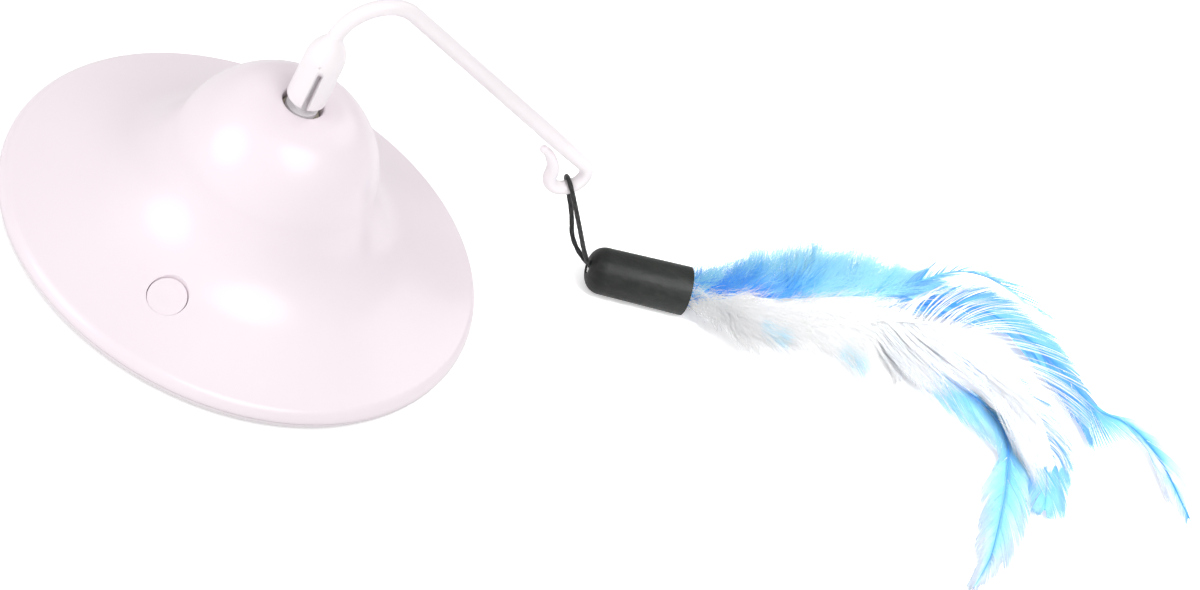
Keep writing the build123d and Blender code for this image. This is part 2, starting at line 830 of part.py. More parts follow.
with BuildPart() as motor_end_cap:
    with BuildSketch(axis_plane(motor_place, motor_bottom)):
        motor_section(0)
    extrude(amount=end_cap_length)
    with BuildSketch(axis_plane(motor_place, shaft_bottom)):
        Circle(shaft_radius + running_gap)
    extrude(amount=end_cap_length, mode=Mode.SUBTRACT)

motor_end_cap.part.label = "motor_end_cap"
export_step(motor_end_cap.part, "parts/motor_end_cap.step")

# Magnets against the can's round sides, and a three-pole armature between them
magnet_thickness = 2.4
magnet_width = 10.0
magnet_length = 14.0
armature_gap = 0.4
armature_length = 12.0
armature_hub_radius = 2.4
armature_pole_width = 2.0
armature_head = 1.2
armature_slot = 1.6
pole_count = 3
inner_can_radius = motor_radius - motor_wall
magnet_inner_radius = inner_can_radius - seat_gap - magnet_thickness
armature_radius = magnet_inner_radius - armature_gap
magnet_bottom = can_bottom + (pillar_height - motor_wall - can_bottom - magnet_length) / 2
armature_bottom = magnet_bottom + (magnet_length - armature_length) / 2
pole_length = armature_radius - armature_head / 2

with BuildPart() as motor_magnets:
    with BuildSketch(axis_plane(motor_place, magnet_bottom)):
        Circle(inner_can_radius - seat_gap)
        Circle(magnet_inner_radius, mode=Mode.SUBTRACT)
        Rectangle(2 * motor_radius, magnet_width, mode=Mode.INTERSECT)
    extrude(amount=magnet_length)

motor_magnets.part.label = "motor_magnets"
export_step(motor_magnets.part, "parts/motor_magnets.step")

with BuildPart() as motor_armature:
    with BuildSketch(axis_plane(motor_place, armature_bottom)):
        Circle(armature_radius)
        Circle(armature_radius - armature_head, mode=Mode.SUBTRACT)
        with PolarLocations(armature_radius, pole_count, start_angle=180 / pole_count):
            Rectangle(2 * armature_head + armature_slot, armature_slot, mode=Mode.SUBTRACT)
        with PolarLocations(pole_length / 2, pole_count):
            Rectangle(pole_length, armature_pole_width)
        Circle(armature_hub_radius)
        Circle(shaft_radius + press_gap, mode=Mode.SUBTRACT)
    extrude(amount=armature_length)

motor_armature.part.label = "motor_armature"
export_step(motor_armature.part, "parts/motor_armature.step")

with BuildPart() as motor_shaft:
    with BuildSketch(axis_plane(motor_place, shaft_bottom + free_gap)):
        Circle(shaft_radius)
    extrude(amount=shaft_top - shaft_bottom - free_gap)

motor_shaft.part.label = "motor_shaft"
export_step(motor_shaft.part, "parts/motor_shaft.step")

with BuildPart() as motor_pinion:
    with BuildSketch(axis_plane(motor_place, first_layer - pinion_lead)):
        with BuildLine():
            pinion_aim = bearing(motor_place, first_idler_place)
            Polyline(*gear_outline(motor_teeth, pinion_shift, pinion_aim), close=True)
        make_face()
        Circle(shaft_radius + press_gap, mode=Mode.SUBTRACT)
    extrude(amount=gear_face + 2 * pinion_lead)

motor_pinion.part.label = "motor_pinion"
export_step(motor_pinion.part, "parts/motor_pinion.step")

# Solder tabs on the flat side of the motor's end cap
tab_reach = 4.5
tab_width = 2.2
tab_length = 2.6
tab_thickness = 0.4
tab_height = motor_bottom + end_cap_length / 2
motor_face_y = motor_place[1] - motor_flat_width / 2

with BuildPart() as motor_terminals:
    with BuildSketch(Plane.XY.offset(tab_height)):
        for side in (-1, 1):
            with Locations((side * tab_reach, motor_face_y - tab_length / 2)):
                Rectangle(tab_width, tab_length)
    extrude(amount=tab_thickness)

motor_terminals.part.label = "motor_terminals"
export_step(motor_terminals.part, "parts/motor_terminals.step")


# Cross-slotted screws: the shank runs from the head's seat, up or down
screw_slot_length = 3.0


def add_screws(places, seat, length, way):
    """Screws whose heads sit at one height, with shanks that run up (1) or down (-1) from it."""
    for x, y in places:
        with Locations((x, y, seat + way * length / 2)):
            Cylinder(screw_radius, length)
        with Locations((x, y, seat - way * screw_head_height / 2)):
            Cylinder(screw_head_radius, screw_head_height)
        with Locations((x, y, seat - way * screw_head_height)):
            Box(screw_slot_length, screw_slot_width, screw_head_height, mode=Mode.SUBTRACT)
            Box(screw_slot_width, screw_slot_length, screw_head_height, mode=Mode.SUBTRACT)


shell_screw_seat = foot_height + head_recess_depth
shell_shank = parting_height + screw_length - seat_gap - shell_screw_seat

with BuildPart() as shell_screws:
    add_screws(shell_screw_places, shell_screw_seat, shell_shank, 1)

shell_screws.part.label = "shell_screws"
export_step(shell_screws.part, "parts/shell_screws.step")

with BuildPart() as door_screw:
    add_screws([(door_screw_x, 0)], foot_height + cover_recess_depth, screw_length, 1)

door_screw.part.label = "door_screw"
export_step(door_screw.part, "parts/door_screw.step")

lug_shank = lug_height + gearbox_plate + lug_boss_height - free_gap

with BuildPart() as gearbox_screws:
    add_screws(lug_places, cover_bottom + lug_height, lug_shank, -1)

gearbox_screws.part.label = "gearbox_screws"
export_step(gearbox_screws.part, "parts/gearbox_screws.step")

with BuildPart() as mounting_screws:
    add_screws(pillar_places, cover_bottom, pillar_pilot_depth, -1)

mounting_screws.part.label = "mounting_screws"
export_step(mounting_screws.part, "parts/mounting_screws.step")

# Control board with its switch under the button
board_top = board_height + board_thickness
small_head_radius = 1.5
small_head_height = 1.0

with BuildPart() as control_board:
    with BuildSketch(Plane.XY.offset(board_height)):
        with Locations(button_place):
            Rectangle(board_length, board_width)
        with Locations(*board_posts):
            Circle(small_screw_radius + seat_gap, mode=Mode.SUBTRACT)
    extrude(amount=board_thickness)

control_board.part.label = "control_board"
export_step(control_board.part, "parts/control_board.step")

with BuildPart() as board_screws:
    with BuildSketch(Plane.XY.offset(board_top)):
        with Locations(*board_posts):
            Circle(small_screw_radius)
    extrude(amount=-small_screw_length)
    with BuildSketch(Plane.XY.offset(board_top)):
        with Locations(*board_posts):
            Circle(small_head_radius)
    extrude(amount=small_head_height)

board_screws.part.label = "board_screws"
export_step(board_screws.part, "parts/board_screws.step")

switch_side = 6.0
switch_height = 3.5
plunger_radius = 1.75
button_travel = 1.2
plunger_stand = 1.3
plunger_depth = 1.4
switch_top = board_top + switch_height
plunger_top = switch_top + plunger_stand

with BuildPart() as push_switch:
    with BuildSketch(Plane.XY.offset(board_top)):
        with Locations(button_place):
            Rectangle(switch_side, switch_side)
    extrude(amount=switch_height)
    with BuildSketch(Plane.XY.offset(switch_top)):
        with Locations(button_place):
            Circle(plunger_radius + running_gap)
    extrude(amount=-(plunger_depth + button_travel + seat_gap), mode=Mode.SUBTRACT)

push_switch.part.label = "push_switch"
export_step(push_switch.part, "parts/push_switch.step")

with BuildPart() as switch_plunger:
    with BuildSketch(Plane.XY.offset(switch_top - plunger_depth)):
        with Locations(button_place):
            Circle(plunger_radius)
    extrude(amount=plunger_depth + plunger_stand)

switch_plunger.part.label = "switch_plunger"
export_step(switch_plunger.part, "parts/switch_plunger.step")

chip_size = (5.0, 4.0, 1.6)
capacitor_radius = 2.5
capacitor_height = 3.4
resistor_size = (3.2, 1.6, 0.6)
chip_share = (-0.34, -0.1)
capacitor_share = (0.36, 0.1)
resistor_shares = ((-0.34, 0.14), (0.3, -0.3), (-0.12, -0.38))


def board_place(shares):
    """A place on the board, as shares of its length and width from its middle."""
    return (button_place[0] + board_length * shares[0], button_place[1] + board_width * shares[1])


with BuildPart() as board_parts:
    with BuildSketch(Plane.XY.offset(board_top)):
        with Locations(board_place(chip_share)):
            Rectangle(chip_size[0], chip_size[1])
    extrude(amount=chip_size[2])
    with BuildSketch(Plane.XY.offset(board_top)):
        with Locations(board_place(capacitor_share)):
            Circle(capacitor_radius)
    extrude(amount=capacitor_height)
    with BuildSketch(Plane.XY.offset(board_top)):
        with Locations(*[board_place(shares) for shares in resistor_shares]):
            Rectangle(resistor_size[0], resistor_size[1])
    extrude(amount=resistor_size[2])

board_parts.part.label = "board_parts"
export_step(board_parts.part, "parts/board_parts.step")

# Push button: a cap cut to the brim's slope, a flange under the guide and a stem over the switch
button_recess = 0.25
button_edge = 0.5
button_flange_radius = 8.2
button_flange_height = 1.0
stem_radius = 2.0
dish_radius = 30.0
dish_reach = 4.6
flange_top = button_guide_bottom - free_gap
brim_slope = degrees(atan2(brim_centre[0] - button_reach, brim_centre[1] - skin_height(button_reach)))
cap_point = (*button_place, skin_height(button_reach) - button_recess)
cap_tilt = (
    sin(radians(brim_slope)) * cos(radians(button_azimuth)),
    sin(radians(brim_slope)) * sin(radians(button_azimuth)),
    cos(radians(brim_slope)),
)
cap_plane = Plane(origin=cap_point, z_dir=cap_tilt)

with BuildPart() as power_button:
    with BuildSketch(Plane.XY.offset(flange_top - button_flange_height)):
        with Locations(button_place):
            Circle(button_radius)
    extrude(amount=dome_radius)
    split(bisect_by=cap_plane, keep=Keep.BOTTOM)
    rim = power_button.faces().filter_by(GeomType.PLANE).sort_by(Axis.Z)[-1].edges()
    fillet(rim, button_edge)
    with Locations(cap_plane.offset(sqrt(dish_radius**2 - dish_reach**2))):
        Sphere(dish_radius, mode=Mode.SUBTRACT)
    with BuildSketch(Plane.XY.offset(flange_top)):
        with Locations(button_place):
            Circle(button_flange_radius)
    extrude(amount=-button_flange_height)
    with BuildSketch(Plane.XY.offset(plunger_top + running_gap)):
        with Locations(button_place):
            Circle(stem_radius)
    extrude(amount=flange_top - plunger_top - running_gap)

power_button.part.label = "power_button"
export_step(power_button.part, "parts/power_button.step")

# Leads inside the base. Each row holds one lead's places across the base, and the shares say how
# far back and how far down each place lies, from where the leads start to the board
lead_radius = 0.6
arc_share = 0.45
battery_lead_y = -box_width / 2 - box_wall - seat_gap
motor_lead_y = motor_face_y - tab_length - free_gap
motor_lead_height = tab_height + tab_thickness / 2
lead_end_y = button_place[1] + board_width / 2 - board_post_inset
lead_end_height = board_top + lead_radius + free_gap
lead_routes = {
    "battery_leads": (
        (battery_lead_y, battery_lead_height),
        ((0, 0), (0.29, 0.12), (0.64, 0.64), (1, 1)),
        (
            (battery_lead_x[1], -17.0, -17.6, button_place[0] - 5.1),
            (battery_lead_x[0], -22.0, -21.4, button_place[0] - 8.3),
        ),
    ),
    "motor_leads": (
        (motor_lead_y, motor_lead_height),
        ((0, 0), (0.23, 0.15), (0.54, 0.55), (0.79, 0.87), (1, 1)),
        (
            (tab_reach, 6.4, 5.6, button_place[0] + 10.1, button_place[0] + 7.1),
            (-tab_reach, -6.6, -8.6, button_place[0] + 2.7, button_place[0] + 3.3),
        ),
    ),
}


def arc_radii(points):
    """For each corner, the largest radius that its two runs leave room for."""
    radii = []
    for before, corner, after in zip(points, points[1:], points[2:]):
        run_in, run_out = Vector(corner) - Vector(before), Vector(after) - Vector(corner)
        half_turn = radians(run_in.get_angle(run_out)) / 2
        radii.append(arc_share * min(run_in.length, run_out.length) / tan(half_turn))
    return radii


for name, ((start_y, start_height), lead_shares, rows) in lead_routes.items():
    run_back, run_down = lead_end_y - start_y, lead_end_height - start_height
    routes = [
        [
            (x, start_y + run_back * back, start_height + run_down * down)
            for x, (back, down) in zip(row, lead_shares)
        ]
        for row in rows
    ]
    with BuildPart() as leads:
        for points in routes:
            with BuildLine() as lead_line:
                FilletPolyline(*points, radius=arc_radii(points))
            with BuildSketch(Plane(origin=lead_line.line @ 0, z_dir=lead_line.line % 0)):
                Circle(lead_radius)
            sweep()
    leads.part.label = name
    export_step(leads.part, f"parts/{name}.step")

# Wand, one moulding in an upright plane through the spin axis
outward = Vector(cos(radians(wand_azimuth)), sin(radians(wand_azimuth)), 0)
sideways = Vector(-sin(radians(wand_azimuth)), cos(radians(wand_azimuth)), 0)
wand_plane = Plane(origin=(0, 0, 0), x_dir=outward, z_dir=-sideways)
socket_lift = 2.6
socket_bottom = dome_top + socket_lift
socket_radius = 7.4
socket_edge = 0.8
socket_height = 19.5
socket_top = socket_bottom + socket_height
shoulder_radius = 14.0
neck_radius = 8.0
bend_radius = 16.5
eye_rod_radius = 2.6
eye_ring_radius = 6.9
taper_length = 18.0
slit_width = 1.8
slit_height = 17.6
slit_top = socket_bottom + slit_height
pin_mark_radius = 0.35
pin_mark_depth = 0.4
pin_mark_azimuth = -90.0
pin_mark_rise = 1.3
pin_mark_height = socket_top + pin_mark_rise
tail_radius = 12.0
tail_turn = 36.0
tail_run = 4.0
tail_lip_radius = 7.0
tail_lip_turn = 30.0
tail_radii = (eye_rod_radius, 2.4, 2.1, 1.8, 1.5)
tail_tip_swell = 0.12

arm_tangent = 90 - arm_slope
eye_height = dome_top - eye_drop
eye_centre = (eye_reach, eye_height)
arm_end = step(eye_centre, eye_ring_radius, arm_tangent)
arm_rise = arm_end[1] + arm_end[0] * tan(radians(arm_slope))
bend_length = bend_radius * tan(radians((90 + arm_slope) / 2))
bend_start = arm_rise - bend_length
bend_end = step((bend_radius, bend_start), bend_radius, arm_tangent)
taper_start = step(arm_end, -taper_length, -arm_slope)
shoulder_turn = degrees(acos(1 - (socket_radius - rod_radius) / (shoulder_radius + neck_radius)))
neck_top = socket_top + (shoulder_radius + neck_radius) * sin(radians(shoulder_turn))


def wand_point(place):
    """A place in the wand's plane, as a point in space."""
    return wand_plane.from_local_coords(Vector(*place))


def wand_normal_plane(place, angle):
    """The plane square to a direction in the wand's plane."""
    direction = outward * cos(radians(angle)) + Vector(0, 0, sin(radians(angle)))
    return Plane(origin=wand_point(place), x_dir=sideways, z_dir=direction)


# The tail leaves the eye upwards, bends away and ends in a small outward lip
tail_start = (eye_reach - eye_ring_radius, eye_height)
tail_centre = (tail_start[0] - tail_radius, tail_start[1])
tail_heading = 90 + tail_turn
tail_bend_end = step(tail_centre, tail_radius, tail_turn)
lip_start = step(tail_bend_end, tail_run, tail_heading)
tail_lip_centre = step(lip_start, tail_lip_radius, tail_heading + 90)
tail_end = step(tail_lip_centre, tail_lip_radius, tail_turn + tail_lip_turn)
tail_stations = [
    (tail_start, 90),
    (step(tail_centre, tail_radius, tail_turn / 2), 90 + tail_turn / 2),
    (tail_bend_end, tail_heading),
    (lip_start, tail_heading),
    (tail_end, tail_heading + tail_lip_turn),
]
slit_length = slit_top - socket_bottom - slit_width / 2


def facing_plane(azimuth, reach, height):
    """An upright plane that faces away from the spin axis at an azimuth, with its X axis upwards."""
    facing = (*polar(1, azimuth), 0)
    return Plane(origin=(*polar(reach, azimuth), height), x_dir=(0, 0, 1), z_dir=facing)


with BuildPart() as wand:
    with BuildSketch(Plane.XZ):
        with BuildLine():
            Polyline(
                (0, neck_top),
                (0, socket_bottom),
                (socket_radius - socket_edge, socket_bottom),
            )
            CenterArc((socket_radius - socket_edge, socket_bottom + socket_edge), socket_edge, -90, 90)
            Line((socket_radius, socket_bottom + socket_edge), (socket_radius, socket_top))
            CenterArc((socket_radius - shoulder_radius, socket_top), shoulder_radius, 0, shoulder_turn)
            CenterArc((rod_radius + neck_radius, neck_top), neck_radius, 180, shoulder_turn)
            Line((rod_radius, neck_top), (0, neck_top))
        make_face()
    revolve(axis=Axis.Z)
    with BuildLine(wand_plane):
        Line((0, socket_top), (0, bend_start))
        CenterArc((bend_radius, bend_start), bend_radius, 180, arm_tangent - 180)
        Line(bend_end, taper_start)
    with BuildSketch(Plane.XY.offset(socket_top)):
        Circle(rod_radius)
    sweep()
    with BuildSketch(wand_normal_plane(taper_start, -arm_slope)):
        Circle(rod_radius)
    with BuildSketch(wand_normal_plane(arm_end, -arm_slope)):
        Circle(eye_rod_radius)
    loft()
    with BuildLine(wand_plane):
        CenterArc(eye_centre, eye_ring_radius, arm_tangent, -180 - arm_tangent)
    with BuildSketch(wand_normal_plane(arm_end, -arm_slope)):
        Circle(eye_rod_radius)
    sweep()
    for (place, angle), radius in zip(tail_stations, tail_radii):
        with BuildSketch(wand_normal_plane(place, angle)):
            Circle(radius)
    loft()
    with Locations(wand_point(tail_end)):
        Sphere(tail_radii[-1] + tail_tip_swell)
    # socket bore, slit and the mould's pin mark
    with BuildSketch(flat_plane(socket_bottom)):
        Circle(spigot_radius + running_gap)
        with Locations((spigot_flat + running_gap, 0)):
            Rectangle(
                spigot_radius,
                2 * spigot_radius,
                align=(Align.MIN, Align.CENTER),
                mode=Mode.SUBTRACT,
            )
    extrude(amount=spigot_top - socket_bottom + seat_gap, mode=Mode.SUBTRACT)
    with BuildSketch(facing_plane(slit_azimuth, 0, socket_bottom)):
        Rectangle(slit_length, slit_width, align=(Align.MIN, Align.CENTER))
        with Locations((slit_length, 0)):
            Circle(slit_width / 2)
    extrude(amount=socket_radius + cut_overrun, mode=Mode.SUBTRACT)
    with BuildSketch(facing_plane(pin_mark_azimuth, socket_radius - pin_mark_depth, pin_mark_height)):
        Circle(pin_mark_radius)
    extrude(amount=cut_overrun, mode=Mode.SUBTRACT)

wand.part.label = "wand"
export_step(wand.part, "parts/wand.step")

# Lure: a sleeve that lies on the floor, its mouth below and beyond the eye
sleeve_reach = 135.2
sleeve_bearing = 30.6
sleeve_azimuth = 19.9
sleeve_flare = 0.4
sleeve_wall = 1.6
sleeve_nose_radius = 6.0
sleeve_floor_gap = 0.1
cord_hole_radius = 2.3
sleeve_axis_height = sleeve_radius + sleeve_flare + sleeve_floor_gap
sleeve_along = Vector(cos(radians(sleeve_azimuth)), sin(radians(sleeve_azimuth)), 0)
sleeve_across = Vector(-sin(radians(sleeve_azimuth)), cos(radians(sleeve_azimuth)), 0)
sleeve_mouth = Vector(*polar(sleeve_reach, sleeve_bearing), sleeve_axis_height)
sleeve_plane = Plane(origin=sleeve_mouth, x_dir=sleeve_along, z_dir=-sleeve_across)
sleeve_axis = Axis(origin=sleeve_mouth, direction=sleeve_along)
sleeve_end_radius = sleeve_radius + sleeve_flare
nose_flat = sleeve_radius - sleeve_nose_radius
bore_start = sleeve_nose_radius / 2
bore_radius = sleeve_radius - sleeve_wall

with BuildPart() as lure_sleeve:
    with BuildSketch(sleeve_plane):
        with BuildLine():
            Line((0, cord_hole_radius), (0, nose_flat))
            CenterArc((sleeve_nose_radius, nose_flat), sleeve_nose_radius, 180, -90)
            Polyline(
                (sleeve_nose_radius, sleeve_radius),
                (sleeve_length, sleeve_end_radius),
                (sleeve_length, bore_radius),
                (bore_start, bore_radius),
                (bore_start, cord_hole_radius),
                (0, cord_hole_radius),
            )
        make_face()
    revolve(axis=sleeve_axis)

lure_sleeve.part.label = "lure_sleeve"
export_step(lure_sleeve.part, "parts/lure_sleeve.step")


def sleeve_section(distance):
    """The plane square to the sleeve, at a distance from its mouth."""
    return Plane(
        origin=sleeve_mouth + sleeve_along * distance,
        x_dir=sleeve_across,
        z_dir=sleeve_along,
    )


# Crimp on the cord's two ends, inside the sleeve, with the stub of cord in the hole
crimp_radius = 4.2
crimp_length = 5.0
stub_radius = 1.9

with BuildPart() as cord_crimp:
    with BuildSketch(sleeve_section(free_gap)):
        Circle(stub_radius)
    extrude(amount=bore_start - free_gap + seat_gap)
    with BuildSketch(sleeve_section(bore_start + seat_gap)):
        Circle(crimp_radius)
    extrude(amount=crimp_length)

cord_crimp.part.label = "cord_crimp"
export_step(cord_crimp.part, "parts/cord_crimp.step")

# Plug that binds the quills in the sleeve's open end
plug_length = 11.0
plug_inset = seat_gap

with BuildPart() as quill_plug:
    with BuildSketch(sleeve_section(sleeve_length - plug_inset - plug_length)):
        Circle(bore_radius - seat_gap)
    extrude(amount=plug_length)

quill_plug.part.label = "quill_plug"
export_step(quill_plug.part, "parts/quill_plug.step")

# Cord loop: over the lower bar of the eye, and down to the sleeve's mouth
eye_point = wand_point(eye_centre)
to_mouth = sleeve_mouth - eye_point
mouth_out, mouth_side, mouth_up = to_mouth.dot(outward), to_mouth.dot(sideways), to_mouth.Z
hang_angle = degrees(atan2(mouth_up, mouth_out))
hang_plane_length = hypot(mouth_out, mouth_up) - eye_ring_radius
hang_length = hypot(hang_plane_length, mouth_side)
bar_out = outward * cos(radians(hang_angle)) + Vector(0, 0, sin(radians(hang_angle)))
bar_point = eye_point + bar_out * eye_ring_radius
cord_down = (sleeve_mouth - bar_point).normalized()
bar_along = outward * -sin(radians(hang_angle)) + Vector(0, 0, cos(radians(hang_angle)))
cord_across = bar_along.cross(cord_down).normalized()
cord_plane = Plane(origin=bar_point, x_dir=cord_across, z_dir=cord_across.cross(-cord_down))

mouth_gap = 2.4
strand_reach = 1.05
bow_reach = 2.9
bow_share = 0.42
bar_turn = 63.2
bar_run = eye_rod_radius + cord_radius + free_gap
bar_corner = bar_run / cos(radians(bar_turn / 2))
corner_reach = bar_corner * sin(radians(bar_turn))
corner_height = bar_corner * cos(radians(bar_turn))
cord_points = [
    (strand_reach, mouth_gap - hang_length),
    (bow_reach, -hang_length * bow_share),
    (corner_reach, corner_height),
    (0, bar_corner),
    (-corner_reach, corner_height),
    (-bow_reach, -hang_length * bow_share),
    (-strand_reach, mouth_gap - hang_length),
]
cord_route = [cord_plane.from_local_coords(Vector(*point)) for point in cord_points]
cord_radii = arc_radii(cord_route)

with BuildPart() as loop_cord:
    with BuildLine() as cord_line:
        FilletPolyline(*cord_route, radius=cord_radii)
    with BuildSketch(Plane(origin=cord_line.line @ 0, z_dir=cord_line.line % 0)):
        Circle(cord_radius)
    sweep()

cord_length = cord_line.wires()[0].length
loop_cord.part.label = "loop_cord"
export_step(loop_cord.part, "parts/loop_cord.step")

# Feathers and down, plain solids of the right size, placed as shares of the feather length
# from the sleeve's open end: along it, and across it
feather_thickness = 1.2
feather_layer = 1.55
feather_bottom = 4.0
feather_droop = 1.4
feather_start = seat_gap
quill_width = 1.4
feather_plane = Plane(
    origin=sleeve_mouth + sleeve_along * (sleeve_length + feather_start) - Vector(0, 0, sleeve_axis_height),
    x_dir=sleeve_along * cos(radians(feather_droop)) - Vector(0, 0, sin(radians(feather_droop))),
    z_dir=sleeve_along * sin(radians(feather_droop)) + Vector(0, 0, cos(radians(feather_droop))),
)
quill_shares = ((0.0, 0.0), (0.077, 0.003), (0.143, 0.008), (0.29, 0.055), (0.39, 0.085))
feather_shares = {
    "sky_feather": (
        ((0.49, -0.037), (0.61, -0.154), (0.6, -0.33), (0.55, -0.544)),
        (0.02, 0.04, 0.04, 0.006),
    ),
    "small_blue_feather": (
        ((0.53, 0.0), (0.66, -0.088), (0.7, -0.304)),
        (0.02, 0.035, 0.008),
    ),
    "white_plume": (
        ((0.53, 0.045), (0.66, -0.04), (0.745, -0.166)),
        (0.05, 0.07, 0.02),
    ),
    "blue_hackle": (
        ((0.485, 0.105), (0.58, 0.145), (0.675, 0.13), (0.81, 0.0), (0.885, -0.053), (0.976, -0.213)),
        (0.006, 0.02, 0.035, 0.03, 0.03, 0.004),
    ),
    "wisp_feather": (
        ((0.485, 0.105), (0.585, 0.15), (0.63, 0.19), (0.7, 0.195)),
        (0.004, 0.01, 0.02, 0.006),
    ),
}


def side_points(places, widths, side):
    """Points beside a line of places, each at its own distance square to the line there."""
    points = []
    for index, place in enumerate(places):
        before, after = places[max(index - 1, 0)], places[min(index + 1, len(places) - 1)]
        heading = bearing(before, after)
        points.append(step(place, side * widths[index], heading + 90))
    return points


for layer, (name, (vane_places, vane_widths)) in enumerate(feather_shares.items()):
    places = [(x * feather_length, y * feather_length) for x, y in quill_shares + vane_places]
    widths = [quill_width / 2] * len(quill_shares) + [width * feather_length for width in vane_widths]
    with BuildPart() as feather:
        with BuildSketch(feather_plane.offset(feather_bottom + layer * feather_layer)):
            with BuildLine():
                Polyline(
                    *side_points(places, widths, 1),
                    *reversed(side_points(places, widths, -1)),
                    close=True,
                )
            make_face()
        extrude(amount=feather_thickness)
    feather.part.label = name
    export_step(feather.part, f"parts/{name}.step")

# Down at each side of the quills: places, half widths and half heights along each clump
down_floor_gap = 0.4
down_shares = {
    "blue_marabou": (
        ((0.0, 0.017), (0.074, 0.039), (0.142, 0.058), (0.3, 0.113), (0.46, 0.168), (0.56, 0.21)),
        (0.011, 0.027, 0.035, 0.04, 0.04, 0.015),
        (0.02, 0.03, 0.045, 0.052, 0.045, 0.015),
    ),
    "white_marabou": (
        ((0.0, -0.017), (0.069, -0.034), (0.146, -0.056), (0.28, -0.033), (0.36, -0.045), (0.43, -0.06)),
        (0.011, 0.027, 0.049, 0.07, 0.055, 0.015),
        (0.02, 0.03, 0.045, 0.05, 0.035, 0.012),
    ),
}
for name, (shares, half_widths, half_heights) in down_shares.items():
    places = [(x * feather_length, y * feather_length) for x, y in shares]
    with BuildPart() as down:
        for index, place in enumerate(places):
            before, after = places[max(index - 1, 0)], places[min(index + 1, len(places) - 1)]
            heading = 0 if index == 0 else bearing(before, after)
            forward = sleeve_along * cos(radians(heading)) + sleeve_across * sin(radians(heading))
            beside = sleeve_across * cos(radians(heading)) - sleeve_along * sin(radians(heading))
            half_height = half_heights[index] * feather_length
            centre_height = sleeve_axis_height if index == 0 else half_height + down_floor_gap
            centre = (
                sleeve_mouth
                + sleeve_along * (sleeve_length + feather_start + place[0])
                + sleeve_across * place[1]
                + Vector(0, 0, centre_height - sleeve_axis_height)
            )
            with BuildSketch(Plane(origin=centre, x_dir=beside, z_dir=forward)):
                Ellipse(half_widths[index] * feather_length, half_height)
        loft(ruled=True)
    down.part.label = name
    export_step(down.part, f"parts/{name}.step")

# Figures for the record
tube_volume = pi * cord_radius**2 * cord_length
print("cord length", round(cord_length, 2), "volume share", round(loop_cord.part.volume / tube_volume, 4))
print("cord radii", [round(radius, 1) for radius in cord_radii])
print("cord route", [tuple(round(value, 2) for value in point) for point in cord_route])
print("eye centre", tuple(round(value, 3) for value in eye_point), "swing axis", tuple(-sideways))
print("mouth", tuple(round(value, 3) for value in sleeve_mouth), "hang angle", round(hang_angle, 2))
print("idlers", first_idler_place, second_idler_place, "motor", motor_place)
print("button", button_place, round(skin_height(button_reach), 2), "slope", round(brim_slope, 2))
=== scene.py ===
import math

import bmesh
import bpy
import numpy as np
from mathutils import Matrix, Vector


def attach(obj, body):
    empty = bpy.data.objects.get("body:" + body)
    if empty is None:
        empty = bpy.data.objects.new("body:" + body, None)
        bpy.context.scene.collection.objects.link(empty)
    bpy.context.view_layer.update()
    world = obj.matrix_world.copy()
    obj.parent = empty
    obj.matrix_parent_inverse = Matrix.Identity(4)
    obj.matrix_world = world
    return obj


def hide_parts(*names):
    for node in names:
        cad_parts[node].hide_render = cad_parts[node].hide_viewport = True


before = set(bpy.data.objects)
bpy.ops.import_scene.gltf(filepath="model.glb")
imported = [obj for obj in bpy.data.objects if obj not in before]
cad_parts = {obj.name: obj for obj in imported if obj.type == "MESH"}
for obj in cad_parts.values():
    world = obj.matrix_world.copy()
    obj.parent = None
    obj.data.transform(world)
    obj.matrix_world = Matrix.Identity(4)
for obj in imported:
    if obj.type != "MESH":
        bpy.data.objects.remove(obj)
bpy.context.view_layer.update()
print("frame loaded:", len(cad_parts), "nodes")

# Where the photograph was taken from: a long lens, the camera turned a little to the left
picture = {
    "lens": 800.0,  # mm
    "sensor": 36.0,  # mm
    "frameWidth": 0.4286,  # metres across the picture
    "elevation": 40.0,  # degrees above the floor
    "roll": 26.74,  # degrees
    "aim": (0.1249, 0.0443),  # metres right of and above the toy's foot, in the picture before the roll
    "clip": (0.1, 60),  # metres
}


def placeCamera():
    rise, roll = math.radians(picture["elevation"]), math.radians(picture["roll"])
    right = Vector((1, 0, 0))
    up = Vector((0, math.sin(rise), math.cos(rise)))
    back = Vector((0, -math.cos(rise), math.sin(rise)))
    camera = bpy.data.cameras.new("photoCamera")
    camera.lens, camera.sensor_width = picture["lens"], picture["sensor"]
    camera.clip_start, camera.clip_end = picture["clip"]
    distance = picture["frameWidth"] * picture["lens"] / picture["sensor"]
    turned = (
        right * math.cos(roll) + up * math.sin(roll), up * math.cos(roll) - right * math.sin(roll), back)
    place = right * picture["aim"][0] + up * picture["aim"][1] + back * distance
    holder = bpy.data.objects.new("photoCamera", camera)
    bpy.context.scene.collection.objects.link(holder)
    holder.matrix_world = Matrix.Translation(place) @ Matrix(turned).transposed().to_4x4()
    bpy.context.scene.camera = holder


placeCamera()

# Studio: soft boxes round a white floor. Each lamp: where it stands, where it points, its size, watts,
# and how many degrees its light spreads over
studio = {
    "lamps": {
        "leftBox": ((-1.1, -0.66, 0.62), (0.0, 0.0, 0.05), 1.0, 6.8, 180),
        "topBox": ((0.5, -0.55, 1.3), (0.05, 0.0, 0.04), 1.0, 8.4, 180),
        "backBox": ((0.6, 1.0, 0.9), (0.2, 0.08, 0.02), 0.8, 2.0, 180),
        "lureBox": ((0.35, -0.14, 0.46), (0.272, 0.125, 0.0), 0.16, 0.35, 38),
    },
    "skyStrength": 0.58,
    "skyColour": (1.0, 0.985, 0.99),
    "floorColour": (0.93, 0.925, 0.93),
    "floorLift": 0.42,  # what the floor adds for the camera, so that it shows white and keeps its shadows
    "floorHalf": 4.0,
}


